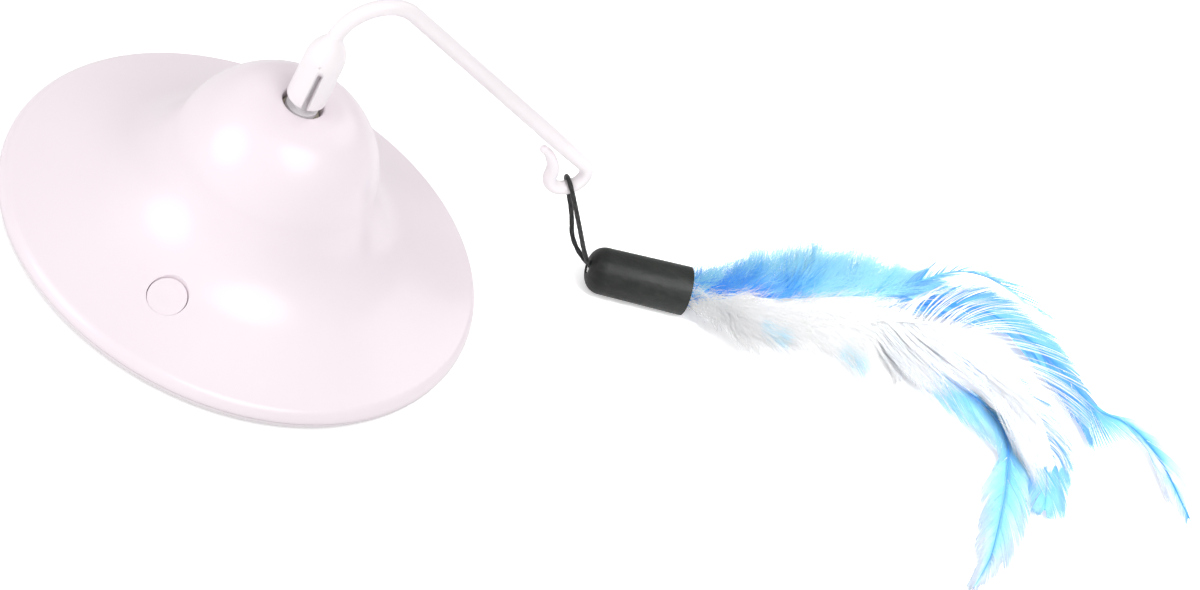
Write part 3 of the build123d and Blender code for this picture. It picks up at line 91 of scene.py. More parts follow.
# A shader node of a kind, with its inputs' values or links, and its settings
def addNode(tree, kind, inputs=None, **settings):
    node = tree.nodes.new("ShaderNode" + kind)
    for name, value in settings.items():
        setattr(node, name, value)
    for name, value in (inputs or {}).items():
        if isinstance(value, bpy.types.NodeSocket):
            tree.links.new(value, node.inputs[name])
        else:
            node.inputs[name].default_value = value
    return node


# A colour ramp over a value: each stop is a place and a colour
def addRamp(tree, value, *stops):
    ramp = addNode(tree, "ValToRGB", {0: value})
    elements = ramp.color_ramp.elements
    while len(elements) < len(stops):
        elements.new(0.5)
    for element, (place, colour) in zip(elements, stops):
        element.position, element.color = place, (*colour, 1)
    return ramp.outputs[0]


# One colour that gives way to another as the factor rises
def addMix(tree, factor, low, high):
    return addNode(tree, "Mix", {0: factor, 6: low, 7: high}, data_type="RGBA").outputs[2]


def addMath(tree, operation, *values):
    return addNode(tree, "Math", dict(enumerate(values)), operation=operation).outputs[0]


def addNoise(tree, vector, scale, detail, roughness=0.5):
    return addNode(tree, "TexNoise", {
        "Vector": vector, "Scale": scale, "Detail": detail, "Roughness": roughness}).outputs[0]


def addBump(tree, height, strength, distance):
    return addNode(tree, "Bump", {"Height": height, "Strength": strength, "Distance": distance}).outputs[0]


# A new material without nodes, and its tree
def blank(name):
    made = bpy.data.materials.new(name)
    made.use_nodes = True
    made.node_tree.nodes.clear()
    return made, made.node_tree


def lightStudio():
    for name, (place, aim, size, watts, spread) in studio["lamps"].items():
        lamp = bpy.data.lights.new(name, "AREA")
        lamp.shape, lamp.size, lamp.energy, lamp.spread = "DISK", size, watts, math.radians(spread)
        holder = bpy.data.objects.new(name, lamp)
        holder.location = place
        holder.rotation_mode = "QUATERNION"
        holder.rotation_quaternion = (Vector(aim) - Vector(place)).to_track_quat("-Z", "Y")
        bpy.context.scene.collection.objects.link(holder)
    world = bpy.data.worlds.new("studioWorld")
    world.use_nodes = True
    bpy.context.scene.world = world
    tree = world.node_tree
    tree.nodes.clear()
    path = addNode(tree, "LightPath")
    fill = addNode(tree, "Background", {
        "Color": (*studio["skyColour"], 1), "Strength": studio["skyStrength"]})
    seen = addNode(tree, "Background", {"Color": (1, 1, 1, 1), "Strength": 1.0})
    shown = addNode(tree, "MixShader", {
        0: path.outputs["Is Camera Ray"], 1: fill.outputs[0], 2: seen.outputs[0]})
    addNode(tree, "OutputWorld", {"Surface": shown.outputs[0]})
    # The floor lets the camera see through it from below
    half = studio["floorHalf"]
    mesh = bpy.data.meshes.new("studioFloor")
    corners = [(-half, -half, 0), (half, -half, 0), (half, half, 0), (-half, half, 0)]
    mesh.from_pydata(corners, [], [(0, 1, 2, 3)])
    made, tree = blank("studioFloor")
    path = addNode(tree, "LightPath")
    paint = addNode(tree, "BsdfDiffuse", {"Color": (*studio["floorColour"], 1)})
    lift = addMath(tree, "MULTIPLY", path.outputs["Is Camera Ray"], studio["floorLift"])
    glow = addNode(tree, "Emission", {"Color": (1, 1, 1, 1), "Strength": lift})
    both = addNode(tree, "AddShader", {0: paint.outputs[0], 1: glow.outputs[0]})
    under = addNode(tree, "NewGeometry")
    clear = addNode(tree, "BsdfTransparent")
    out = addNode(tree, "MixShader", {
        0: under.outputs["Backfacing"], 1: both.outputs[0], 2: clear.outputs[0]})
    addNode(tree, "OutputMaterial", {"Surface": out.outputs[0]})
    mesh.materials.append(made)
    floor = bpy.data.objects.new("studioFloor", mesh)
    bpy.context.scene.collection.objects.link(floor)
    bpy.context.scene.view_settings.view_transform = "Standard"


lightStudio()
print("camera and studio placed")


def unit(vectors):
    return vectors / np.maximum(np.linalg.norm(vectors, axis=-1, keepdims=True), 1e-12)


# Rows of three values that are given at stations along a line, read at other places on it
def readAlong(places, stations, rows):
    return np.stack([np.interp(places, stations, rows[:, axis]) for axis in range(3)], -1)


# Puts whole arrays into a mesh: points, a list of face arrays, and marks for the material by name
def putMesh(name, points, faceSets, body, material, marks=None):
    mesh = bpy.data.meshes.new(name)
    corners = np.concatenate([faces.ravel() for faces in faceSets]).astype(np.int32)
    sizes = np.concatenate([np.full(len(faces), faces.shape[1]) for faces in faceSets])
    mesh.vertices.add(len(points))
    mesh.vertices.foreach_set("co", np.ascontiguousarray(points, np.float32).ravel())
    mesh.loops.add(len(corners))
    mesh.loops.foreach_set("vertex_index", corners)
    mesh.polygons.add(len(sizes))
    mesh.polygons.foreach_set("loop_start", (np.cumsum(sizes) - sizes).astype(np.int32))
    mesh.polygons.foreach_set("use_smooth", np.ones(len(sizes), bool))
    mesh.update(calc_edges=True)
    for mark, values in (marks or {}).items():
        data = mesh.attributes.new(mark, "FLOAT", "POINT").data
        data.foreach_set("value", values.astype(np.float32).ravel())
    mesh.materials.append(material)
    piece = bpy.data.objects.new(name, mesh)
    bpy.context.scene.collection.objects.link(piece)
    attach(piece, body)
    return piece


# A shader with a fine grain in its colour, roughness and surface, all read from Object coordinates.
# look: colour, deeper colour in broad soft patches, roughness range, grain size and height in metres
def grained(name, look):
    made, tree = blank(name)
    where = addNode(tree, "TexCoord").outputs["Object"]
    patches = addNoise(tree, where, look.get("patchScale", 14), detail=3.0, roughness=0.55)
    colour = addRamp(tree, patches, (0.3, look["deeper"]), (0.72, look["colour"]))
    grain = addNoise(tree, where, look["grainScale"], detail=4.0, roughness=0.6)
    gloss = addNode(tree, "MapRange", {
        "Value": grain, "From Min": 0.15, "From Max": 0.85,
        "To Min": look["roughness"][0], "To Max": look["roughness"][1]})
    bump = addBump(tree, grain, look.get("bumpStrength", 0.4), look["grainHeight"])
    shader = addNode(tree, "BsdfPrincipled", {
        "Base Color": colour, "Roughness": gloss.outputs[0], "Normal": bump,
        "Metallic": look.get("metal", 0.0), "Coat Weight": look.get("coat", 0.0), "Coat Roughness": 0.08,
        "IOR": look.get("ior", 1.46)})
    addNode(tree, "OutputMaterial", {"Surface": shader.outputs[0]})
    return made, tree, shader, where


# Glossy pinkish-white moulding: the shell and its button
glossyWhite = {
    "colour": (0.9, 0.825, 0.865), "deeper": (0.88, 0.79, 0.84), "patchScale": 9, "roughness": (0.296, 0.306),
    "grainScale": 160, "grainHeight": 0.000002, "bumpStrength": 0.15, "coat": 0.2, "ior": 1.5,
}
# Satin white moulding: the wand
satinWhite = {
    "colour": (0.94, 0.9, 0.92), "deeper": (0.92, 0.87, 0.895), "patchScale": 30, "roughness": (0.26, 0.4),
    "grainScale": 1600, "grainHeight": 0.00002, "coat": 0.15, "ior": 1.5,
}
# Spark-textured white moulding: base and battery cover
sparkWhite = {
    "colour": (0.83, 0.79, 0.81), "deeper": (0.8, 0.75, 0.775), "patchScale": 12, "roughness": (0.48, 0.66),
    "grainScale": 2600, "grainHeight": 0.00006, "bumpStrength": 0.5,
}
finishes = {
    "shell": glossyWhite,
    "wandPlastic": satinWhite,
    "basePlastic": sparkWhite,
    "spindlePlastic": {
        "colour": (0.86, 0.84, 0.86), "deeper": (0.8, 0.78, 0.8), "roughness": (0.35, 0.5),
        "grainScale": 1800, "grainHeight": 0.00004},
    "gearPlastic": {
        "colour": (0.78, 0.77, 0.72), "deeper": (0.72, 0.71, 0.66), "roughness": (0.3, 0.45),
        "grainScale": 1500, "grainHeight": 0.00002},
    "gearboxPlastic": {
        "colour": (0.2, 0.21, 0.22), "deeper": (0.15, 0.155, 0.165), "roughness": (0.45, 0.62),
        "grainScale": 2200, "grainHeight": 0.00006},
    "bushPlastic": {
        "colour": (0.62, 0.58, 0.48), "deeper": (0.55, 0.51, 0.41), "roughness": (0.32, 0.42),
        "grainScale": 1500, "grainHeight": 0.00002},
    "capPlastic": {
        "colour": (0.045, 0.045, 0.05), "deeper": (0.03, 0.03, 0.034), "roughness": (0.4, 0.55),
        "grainScale": 2000, "grainHeight": 0.00005},
    "chipPlastic": {
        "colour": (0.035, 0.036, 0.04), "deeper": (0.025, 0.025, 0.03), "roughness": (0.35, 0.5),
        "grainScale": 2500, "grainHeight": 0.00004},
    "magnetFerrite": {
        "colour": (0.06, 0.06, 0.062), "deeper": (0.035, 0.035, 0.037), "roughness": (0.55, 0.75),
        "grainScale": 3000, "grainHeight": 0.00008},
    "footRubber": {
        "colour": (0.09, 0.09, 0.095), "deeper": (0.06, 0.06, 0.064), "roughness": (0.7, 0.88),
        "grainScale": 1400, "grainHeight": 0.0001},
    "quillResin": {
        "colour": (0.42, 0.5, 0.56), "deeper": (0.3, 0.38, 0.46), "roughness": (0.2, 0.36),
        "grainScale": 900, "grainHeight": 0.0001},
    "terminalBrass": {
        "colour": (0.72, 0.52, 0.22), "deeper": (0.6, 0.4, 0.15), "roughness": (0.25, 0.45),
        "grainScale": 1200, "grainHeight": 0.00003, "metal": 1.0},
    "screwSteel": {
        "colour": (0.62, 0.62, 0.6), "deeper": (0.48, 0.48, 0.47), "roughness": (0.25, 0.42),
        "grainScale": 2600, "grainHeight": 0.00003, "metal": 1.0},
    "contactSteel": {
        "colour": (0.72, 0.72, 0.7), "deeper": (0.6, 0.6, 0.58), "roughness": (0.18, 0.34),
        "grainScale": 2000, "grainHeight": 0.00002, "metal": 1.0},
}
materials = {name: grained(name, look)[0] for name, look in finishes.items()}


# Brushed metal: a noise that is stretched along the brush marks
def brushedSteel(name, look):
    made, tree = blank(name)
    where = addNode(tree, "TexCoord").outputs["Object"]
    stretched = addNode(tree, "Mapping", {"Vector": where, "Scale": look["stretch"]})
    lines = addNoise(tree, stretched.outputs[0], look["lineScale"], detail=6.0, roughness=0.7)
    colour = addRamp(tree, lines, (0, look["deeper"]), (1, look["colour"]))
    gloss = addNode(tree, "MapRange", {"Value": lines, "To Min": 0.22, "To Max": 0.5})
    bump = addBump(tree, lines, strength=0.3, distance=0.00003)
    shader = addNode(tree, "BsdfPrincipled", {
        "Base Color": colour, "Roughness": gloss.outputs[0], "Normal": bump, "Metallic": 1.0})
    addNode(tree, "OutputMaterial", {"Surface": shader.outputs[0]})
    return made


# The motor's can, the gears' pins, and the armature's sheets with copper between them
brushed = {
    "canSteel": {
        "stretch": (1, 1, 14), "lineScale": 260, "colour": (0.66, 0.66, 0.65), "deeper": (0.5, 0.5, 0.5)},
    "pinSteel": {
        "stretch": (1, 1, 0.1), "lineScale": 1800, "colour": (0.7, 0.7, 0.7), "deeper": (0.56, 0.56, 0.56)},
    "armatureSteel": {
        "stretch": (0.1, 0.1, 30), "lineScale": 200, "colour": (0.6, 0.34, 0.18), "deeper": (0.3, 0.3, 0.3)},
}
for name, look in brushed.items():
    materials[name] = brushedSteel(name, look)

# Battery cells: a plain jacket, copper-coloured towards one end, and a bare steel cap at the other.
# Places are metres from the cell's middle along it
cellLook = {
    "jacket": (0.03, 0.035, 0.045), "band": (0.5, 0.26, 0.1), "steel": (0.7, 0.7, 0.68),
    "bandFrom": 0.0145, "bareFrom": 0.0232,
}


def cellJacket(name, turned):
    made, tree, shader, where = grained(name, {
        "colour": cellLook["jacket"], "deeper": (0.02, 0.023, 0.03), "roughness": (0.22, 0.32),
        "grainScale": 900, "grainHeight": 0.00001, "coat": 0.4})
    axes = addNode(tree, "SeparateXYZ", {0: where})
    way = addMath(tree, "MULTIPLY", axes.outputs[0], -1.0 if turned else 1.0)
    banded = addMath(tree, "LESS_THAN", way, -cellLook["bandFrom"])
    bare = addMath(tree, "GREATER_THAN", way, cellLook["bareFrom"])
    jacket = addMix(tree, banded, (*cellLook["jacket"], 1), (*cellLook["band"], 1))
    paint = addMix(tree, bare, jacket, (*cellLook["steel"], 1))
    tree.links.new(paint, shader.inputs["Base Color"])
    tree.links.new(bare, shader.inputs["Metallic"])
    return made


# Leads: one red and one black, told apart by which side of a line they lie on. The line is turned by
# some degrees from the X axis and stands some metres off it
leadPaint = {"black": (0.02, 0.02, 0.022), "red": (0.48, 0.03, 0.025)}


def leadJacket(name, turn, split):
    made, tree, shader, where = grained(name, {
        "colour": (0.5, 0.03, 0.025), "deeper": (0.4, 0.02, 0.02), "roughness": (0.35, 0.5),
        "grainScale": 1500, "grainHeight": 0.00002})
    turned = addNode(tree, "Mapping", {"Vector": where, "Rotation": (0, 0, math.radians(turn))})
    axes = addNode(tree, "SeparateXYZ", {0: turned.outputs[0]})
    side = addMath(tree, "GREATER_THAN", axes.outputs[0], split)
    paint = addMix(tree, side, (*leadPaint["black"], 1), (*leadPaint["red"], 1))
    tree.links.new(paint, shader.inputs["Base Color"])
    return made


# Circuit board: green varnish over copper runs, which stand a little higher and show lighter
def printedBoard(name):
    made, tree, shader, where = grained(name, {
        "colour": (0.02, 0.16, 0.07), "deeper": (0.015, 0.12, 0.055), "roughness": (0.25, 0.36),
        "grainScale": 1200, "grainHeight": 0.00002, "coat": 0.3})
    runs = addNode(tree, "TexBrick", {
        "Vector": where, "Scale": 300.0, "Mortar Size": 0.1, "Mortar Smooth": 0.1,
        "Color1": (0.018, 0.14, 0.06, 1), "Color2": (0.02, 0.155, 0.07, 1), "Mortar": (0.05, 0.3, 0.12, 1)})
    tree.links.new(runs.outputs["Color"], shader.inputs["Base Color"])
    return made


# The lure's own frame: its origin on the floor below the sleeve's open end, along the sleeve and across it
lure = {
    "origin": (0.151821, 0.081655, 0.0),
    "azimuth": 19.9,  # degrees
    "span": 0.2,  # metres, about its length, which the feathers' places are shares of
    "mouthHeight": 0.0091,
    # Down keeps to the bore up to the mouth and is free soon after: metres along the sleeve, and off its axis
    "boreTo": (0.0005, 0.012),
    "boreRoom": (0.0062, 0.04),
}

# Satin black sleeve: mottled, with lighter patches that are a painted highlight speckle, and a faint
# lengthwise drag from drawing
sleeveLook = {"black": (0.0075, 0.009, 0.008), "worn": (0.022, 0.025, 0.023), "drag": 0.35}


def sleeveRubber(name):
    made, tree = blank(name)
    where = addNode(tree, "TexCoord").outputs["Object"]
    drawn = addNode(tree, "Mapping", {
        "Vector": where, "Rotation": (0, 0, math.radians(-lure["azimuth"])),
        "Scale": (sleeveLook["drag"], 1, 1)})
    mottle = addNoise(tree, drawn.outputs[0], 420.0, detail=5.0, roughness=0.65)
    pits = addNode(tree, "TexVoronoi", {"Vector": where, "Scale": 900.0})
    # The lighter colour on the mottle is a painted highlight speckle; the roughness and bump that follow the
    # mottle are the surface's own
    colour = addRamp(tree, mottle, (0.42, sleeveLook["black"]), (0.8, sleeveLook["worn"]))
    gloss = addNode(tree, "MapRange", {
        "Value": mottle, "From Min": 0.3, "From Max": 0.7, "To Min": 0.42, "To Max": 0.6})
    height = addMath(tree, "MULTIPLY", pits.outputs[0], mottle)
    bump = addBump(tree, height, strength=0.55, distance=0.00025)
    shader = addNode(tree, "BsdfPrincipled", {
        "Base Color": colour, "Roughness": gloss.outputs[0], "Normal": bump,
        "Specular IOR Level": 0.3, "IOR": 1.5})
    addNode(tree, "OutputMaterial", {"Surface": shader.outputs[0]})
    return made


materials["sleeveRubber"] = sleeveRubber("sleeveRubber")
materials["printedBoard"] = printedBoard("printedBoard")
materials["cellForward"] = cellJacket("cellForward", False)
materials["cellTurned"] = cellJacket("cellTurned", True)
materials["batteryLead"] = leadJacket("batteryLead", 0.0, -0.0195)
materials["motorLead"] = leadJacket("motorLead", -4.57, -0.00204)

# Which finish each CAD node wears
worn = {
    "basePlastic": ["base_plate", "battery_door"],
    "shell": ["upper_shell", "power_button"],
    "wandPlastic": ["wand"],
    "footRubber": ["foot_ring"],
    "screwSteel": ["door_screw", "shell_screws", "gearbox_screws", "mounting_screws", "board_screws"],
    "contactSteel": ["flat_contacts", "spring_contacts", "thrust_washer", "cord_crimp"],
    "cellForward": ["battery_cell_1", "battery_cell_3"],
    "cellTurned": ["battery_cell_2"],
    "gearboxPlastic": ["gearbox_base", "gearbox_cover"],
    "pinSteel": ["idler_pins", "motor_shaft"],
    "gearPlastic": ["first_idler_gear", "second_idler_gear", "output_gear"],
    "terminalBrass": ["motor_pinion", "motor_terminals"],
    "spindlePlastic": ["drive_spindle"],
    "bushPlastic": ["spindle_bush", "switch_plunger"],
    "canSteel": ["motor_can"],
    "capPlastic": ["motor_end_cap", "push_switch"],
    "magnetFerrite": ["motor_magnets"],
    "armatureSteel": ["motor_armature"],
    "printedBoard": ["control_board"],
    "chipPlastic": ["board_parts"],
    "batteryLead": ["battery_leads"],
    "motorLead": ["motor_leads"],
    "sleeveRubber": ["lure_sleeve"],
    "quillResin": ["quill_plug"],
}
for finish, nodes in worn.items():
    for node in nodes:
        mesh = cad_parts[node].data
        mesh.materials.clear()
        mesh.materials.append(materials[finish])
print("finishes on the CAD nodes")

# Pieces whose gloss would show the CAD mesh's facets stand in as welded copies with smooth normals.
# Each: its node, body and slot, and the degrees from which an edge stays sharp
weldWithin = 0.000002
smoothed = {
    "shellSkin": ("upper_shell", "base", "shell_white", 24),
    "buttonCap": ("power_button", "button", "shell_white", 40),
    "wandMoulding": ("wand", "wand", "wand_white", 40),
    "sleeveTube": ("lure_sleeve", "lure", "sleeve_black", 40),
}


# The shell's outside is turned from arcs. These sizes, in mm and degrees, are the ones it was drawn with
shellSection = {
    "baseRadius": 90.0, "lipRadius": 4.5, "lipHeight": 5.2,
    "brimRadius": 227.0, "outerSlope": 17.0, "innerSlope": 24.0,
    "domeRadius": 38.6, "domeHeight": 42.0, "crownDrop": 4.8, "crownBlend": 18.0,
    "offArc": 0.08, "pastArc": 0.4,  # how far off an arc, and past its ends, a vertex still counts as on it
}


# One step outwards and up, at an angle in degrees
def toward(angle):
    return np.array([math.cos(math.radians(angle)), math.sin(math.radians(angle))])


# Each arc: centre, radius, first and last angle, and 1 where the skin bulges or -1 where it is hollow
def sectionArcs(look):
    outer, inner = 90 - look["outerSlope"], 90 - look["innerSlope"]
    lip = np.array([look["baseRadius"] - look["lipRadius"], look["lipHeight"]])
    brim = lip + toward(outer) * (look["lipRadius"] + look["brimRadius"])
    brimEnd = brim - toward(inner) * look["brimRadius"]
    dome = np.array([0.0, look["domeHeight"]])
    offset = brimEnd - dome
    touching = look["domeRadius"] - offset @ toward(inner)
    flareRadius = (offset @ offset - look["domeRadius"] ** 2) / 2 / touching
    flare = brimEnd + toward(inner) * flareRadius
    flareAngle = math.degrees(math.atan2(*(flare - dome)[::-1]))
    rise = look["domeRadius"] - look["crownDrop"] - look["crownBlend"]
    reach = math.sqrt((look["domeRadius"] - look["crownBlend"]) ** 2 - rise**2)
    crownAngle = math.degrees(math.atan2(rise, reach))
    return [
        (lip, look["lipRadius"], 0, outer, 1),
        (brim, look["brimRadius"], 180 + inner, 180 + outer, -1),
        (flare, flareRadius, 180 + flareAngle, 180 + inner, -1),
        (dome, look["domeRadius"], flareAngle, crownAngle, 1),
        (dome + (reach, rise), look["crownBlend"], crownAngle, 90, 1),
    ]


# A vertex on one of the turned arcs gets its exact normal, off the arc's centre, and the others get nought
def turnedNormals(mesh, look):
    points = np.zeros(len(mesh.vertices) * 3)
    mesh.vertices.foreach_get("co", points)
    points = points.reshape(-1, 3) * 1000
    reach = np.maximum(np.hypot(points[:, 0], points[:, 1]), 1e-9)
    normals = np.zeros_like(points)
    for centre, radius, first, last, way in sectionArcs(look):
        off = np.stack([reach - centre[0], points[:, 2] - centre[1]], 1)
        away = np.linalg.norm(off, axis=1)
        angle = np.degrees(np.arctan2(off[:, 1], off[:, 0])) % 360
        within = (angle > first - look["pastArc"]) & (angle < last + look["pastArc"])
        on = (np.abs(away - radius) < look["offArc"]) & within
        slope = way * off / away[:, None]
        outwards = slope[:, :1] * points[:, :2] / reach[:, None]
        exact = np.concatenate([outwards, slope[:, 1:]], 1)
        normals[on] = exact[on]
    return normals


# Triangles that lie on the turned skin with all their corners take the arcs' normals
def exactNormals(mesh, look):
    corners = np.zeros(len(mesh.loops), np.int32)
    mesh.loops.foreach_get("vertex_index", corners)
    wanted = turnedNormals(mesh, look)[corners].reshape(-1, 3, 3)
    onSkin = (np.abs(wanted).sum(2) > 0).all(1)
    wanted[~onSkin] = 0
    mesh.normals_split_custom_set(wanted.reshape(-1, 3).tolist())


# A welded copy: the shell's normals are worked out, the others' are weighed by their faces' areas and angles
def weldedCopy(name, node, body, sharpFrom):
    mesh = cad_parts[node].data.copy()
    mesh.name = name
    work = bmesh.new()
    work.from_mesh(mesh)
    bmesh.ops.remove_doubles(work, verts=work.verts, dist=weldWithin)
    work.to_mesh(mesh)
    work.free()
    mesh.polygons.foreach_set("use_smooth", np.ones(len(mesh.polygons), bool))
    mesh.set_sharp_from_angle(angle=math.radians(sharpFrom))
    piece = bpy.data.objects.new(name, mesh)
    bpy.context.scene.collection.objects.link(piece)
    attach(piece, body)
    if node == "upper_shell":
        exactNormals(mesh, shellSection)
    else:
        evened = piece.modifiers.new("evenedNormals", "WEIGHTED_NORMAL")
        evened.mode, evened.weight, evened.keep_sharp = "FACE_AREA_WITH_ANGLE", 100, True
    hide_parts(node)


for name, (node, body, slot, sharpFrom) in smoothed.items():
    weldedCopy(name, node, body, sharpFrom)
print("welded copies of the glossy parts")

# Elastic cord: from the crimp inside the sleeve, up over the eye's lower bar, and back
elastic = {
    "diameter": 0.0018,
    "length": 0.078,
    "points": [
        (0.11840, 0.07056, 0.0091),
        (0.11500, 0.06990, 0.0095),
        (0.10650, 0.07030, 0.0165),
        (0.10300, 0.07240, 0.0250),
        (0.09476, 0.07501, 0.03718),
        (0.09516, 0.07152, 0.0407),
        (0.09828, 0.06768, 0.04017),
        (0.10669, 0.06775, 0.02629),
        (0.11580, 0.06800, 0.0104),
        (0.11904, 0.06878, 0.0091),
    ],
    "strandsRound": 8,  # braid strands each way
    "braidPitch": 0.0042,
    "braidDepth": 0.1,
    "around": 40,
    "perMetre": 9000,
    "routeSteps": 24,  # from one control point to the next
}


# The points of a smooth open spline through control points, from a bare curve made into a mesh
def splinePoints(name, points, steps):
    curve = bpy.data.curves.new(name, "CURVE")
    curve.dimensions, curve.resolution_u = "3D", steps
    spline = curve.splines.new("NURBS")
    spline.points.add(len(points) - 1)
    spline.points.foreach_set("co", np.array([(*point, 1) for point in points], np.float32).ravel())
    spline.order_u, spline.use_endpoint_u = 3, True
    holder = bpy.data.objects.new(name, curve)
    bpy.context.scene.collection.objects.link(holder)
    bpy.context.view_layer.update()
    line = bpy.data.meshes.new_from_object(holder)
    co = np.zeros(len(line.vertices) * 3)
    line.vertices.foreach_get("co", co)
    bpy.data.objects.remove(holder)
    return co.reshape(-1, 3)


# Even steps along a polyline: places at equal shares of its length
def evenSteps(line, count):
    gone = np.concatenate([[0], np.cumsum(np.linalg.norm(np.diff(line, axis=0), axis=1))])
    shares = np.linspace(0, gone[-1], count)
    return readAlong(shares, gone, line), gone[-1]


# A tube that is closed at both ends: its points, ring by ring, and its faces
def tube(line, radii, around):
    ahead = unit(np.gradient(line, axis=0))
    aside = (0.31, 0.52, 0.79)  # no cord or stem runs this way
    first = unit(np.cross(ahead, aside))
    second = np.cross(ahead, first)
    turn = np.linspace(0, 2 * math.pi, around, endpoint=False)[None, :, None]
    sideways = np.cos(turn) * first[:, None] + np.sin(turn) * second[:, None]
    points = line[:, None] + radii[..., None] * sideways
    index = np.arange(len(line) * around).reshape(-1, around)
    near, far = index[:-1], index[1:]
    quads = np.stack([near, np.roll(near, -1, 1), np.roll(far, -1, 1), far], -1).reshape(-1, 4)
    return points.reshape(-1, 3), [quads, index[:1, ::-1], index[-1:]]


# Cord: a tube whose radius rises where two sets of helices, wound both ways, pass over each other
def braidedCord(name, look):
    path = splinePoints(name + "Route", look["points"], look["routeSteps"])
    line, length = evenSteps(path, int(look["length"] * look["perMetre"]))
    turn = np.linspace(0, 2 * math.pi, look["around"], endpoint=False)[None, :]
    gone = np.linspace(0, length, len(line))[:, None]
    wind = 2 * math.pi * gone / look["braidPitch"]
    half = look["strandsRound"] / 2
    over = np.maximum(np.cos(half * turn + wind), np.cos(half * turn - wind))
    radius = look["diameter"] / 2 * (1 - look["braidDepth"] * (1 - over))
    points, faces = tube(line, radius, look["around"])
    piece = putMesh(name, points, faces, "cord", cordMaterial("elasticBraid"), {"over": over})
    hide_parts("loop_cord")
    print("cord length", round(length, 4))


# Black braid: its colour is darker where the braid dips, a painted shade in the grooves, and lighter with a
# fine fuzz on the crossings
def cordMaterial(name):
    made, tree = blank(name)
    over = addNode(tree, "Attribute", attribute_name="over")
    where = addNode(tree, "TexCoord").outputs["Object"]
    fuzz = addNoise(tree, where, 5200.0, detail=3.0)
    level = addMath(tree, "MULTIPLY", over.outputs["Fac"], fuzz)
    colour = addRamp(tree, level, (0, (0.004, 0.004, 0.004)), (1, (0.035, 0.035, 0.036)))
    bump = addBump(tree, fuzz, strength=0.5, distance=0.0001)
    shader = addNode(tree, "BsdfPrincipled", {
        "Base Color": colour, "Roughness": 0.72, "Normal": bump, "Sheen Weight": 0.2})
    addNode(tree, "OutputMaterial", {"Surface": shader.outputs[0]})
    return made


braidedCord("elasticCord", elastic)
print("cord made")

lureTurn = math.radians(lure["azimuth"])
lureAxes = np.array([
    (math.cos(lureTurn), math.sin(lureTurn), 0),
    (-math.sin(lureTurn), math.cos(lureTurn), 0),
    (0, 0, 1),
])


def fromLure(places):
    return np.asarray(lure["origin"]) + places @ lureAxes


# A smooth line through places, each run a cubic that leaves and meets them along their neighbours' line
def smoothLine(places, count):
    places = np.asarray(places, float)
    padded = np.vstack([2 * places[0] - places[1], places, 2 * places[-1] - places[-2]])
    along = np.linspace(0, len(places) - 1, count)
    run = np.minimum(along.astype(int), len(places) - 2)
    t = (along - run)[:, None]
    a, b, c, d = padded[run], padded[run + 1], padded[run + 2], padded[run + 3]
    line = 0.5 * (2 * b + (c - a) * t + (2 * a - 5 * b + 4 * c - d) * t**2 + (3 * b - a - 3 * c + d) * t**3)
    return evenSteps(line, count)[0]


# Closed three-sided strands: their faces, and their points, two beside the line and one above it
def strandFaces(count, rings):
    ring = np.arange(count * rings * 3).reshape(count, rings, 3)
    near, far = ring[:, :-1], ring[:, 1:]
    quads = np.stack([near, np.roll(near, -1, 2), np.roll(far, -1, 2), far], -1).reshape(-1, 4)
    return [quads, ring[:, 0, ::-1], ring[:, -1]]


def strandPoints(lines, beside, above, widths, flatness):
    wide = widths[..., None] / 2
    corners = [lines + beside * wide, lines + above * wide * flatness, lines - beside * wide]
    return np.stack(corners, axis=2).reshape(-1, 3)


# A mark's values, one for each ring of each strand, given to the ring's three corners
def onCorners(values):
    return np.repeat(values.ravel(), 3)


# Barbs and down: colour by the mark "shade" on a ramp, paler towards each tip by the mark "reach",
# with streaks, some light let through, and a soft sheen
def barbMaterial(name, look):
    made, tree = blank(name)
    where = addNode(tree, "TexCoord").outputs["Object"]
    shade = addNode(tree, "Attribute", attribute_name="shade")
    reach = addNode(tree, "Attribute", attribute_name="reach")
    streaks = addNoise(tree, where, look.get("streakScale", 260), detail=4.0, roughness=0.6)
    shifted = addMath(tree, "SUBTRACT", streaks, 0.5)
    level = addMath(tree, "MULTIPLY_ADD", shifted, look["streaks"], shade.outputs["Fac"])
    tip = addMath(tree, "MULTIPLY", reach.outputs["Fac"], look["paleTip"])
    paint = addMix(tree, tip, addRamp(tree, level, *look["colours"]), (*look["tipColour"], 1))
    shader = addNode(tree, "BsdfPrincipled", {
        "Base Color": paint, "Roughness": look["roughness"], "Sheen Weight": look["sheen"],
        "Sheen Roughness": 0.4, "IOR": 1.45})
    through = addNode(tree, "BsdfTranslucent", {"Color": paint})
    both = addNode(tree, "MixShader", {0: look["through"], 1: shader.outputs[0], 2: through.outputs[0]})
    gaps = addNode(tree, "BsdfTransparent")
    airy = addNode(tree, "MixShader", {0: look["airy"], 1: both.outputs[0], 2: gaps.outputs[0]})
    addNode(tree, "OutputMaterial", {"Surface": airy.outputs[0]})
    return made


azure, deepAzure = (0.1, 0.5, 1.0), (0.03, 0.33, 1.0)
sky, cyan = (0.22, 0.66, 1.0), (0.42, 0.84, 1.0)
paleBlue, softWhite = (0.6, 0.82, 0.96), (0.93, 0.955, 0.975)
coolGrey = (0.72, 0.77, 0.86)
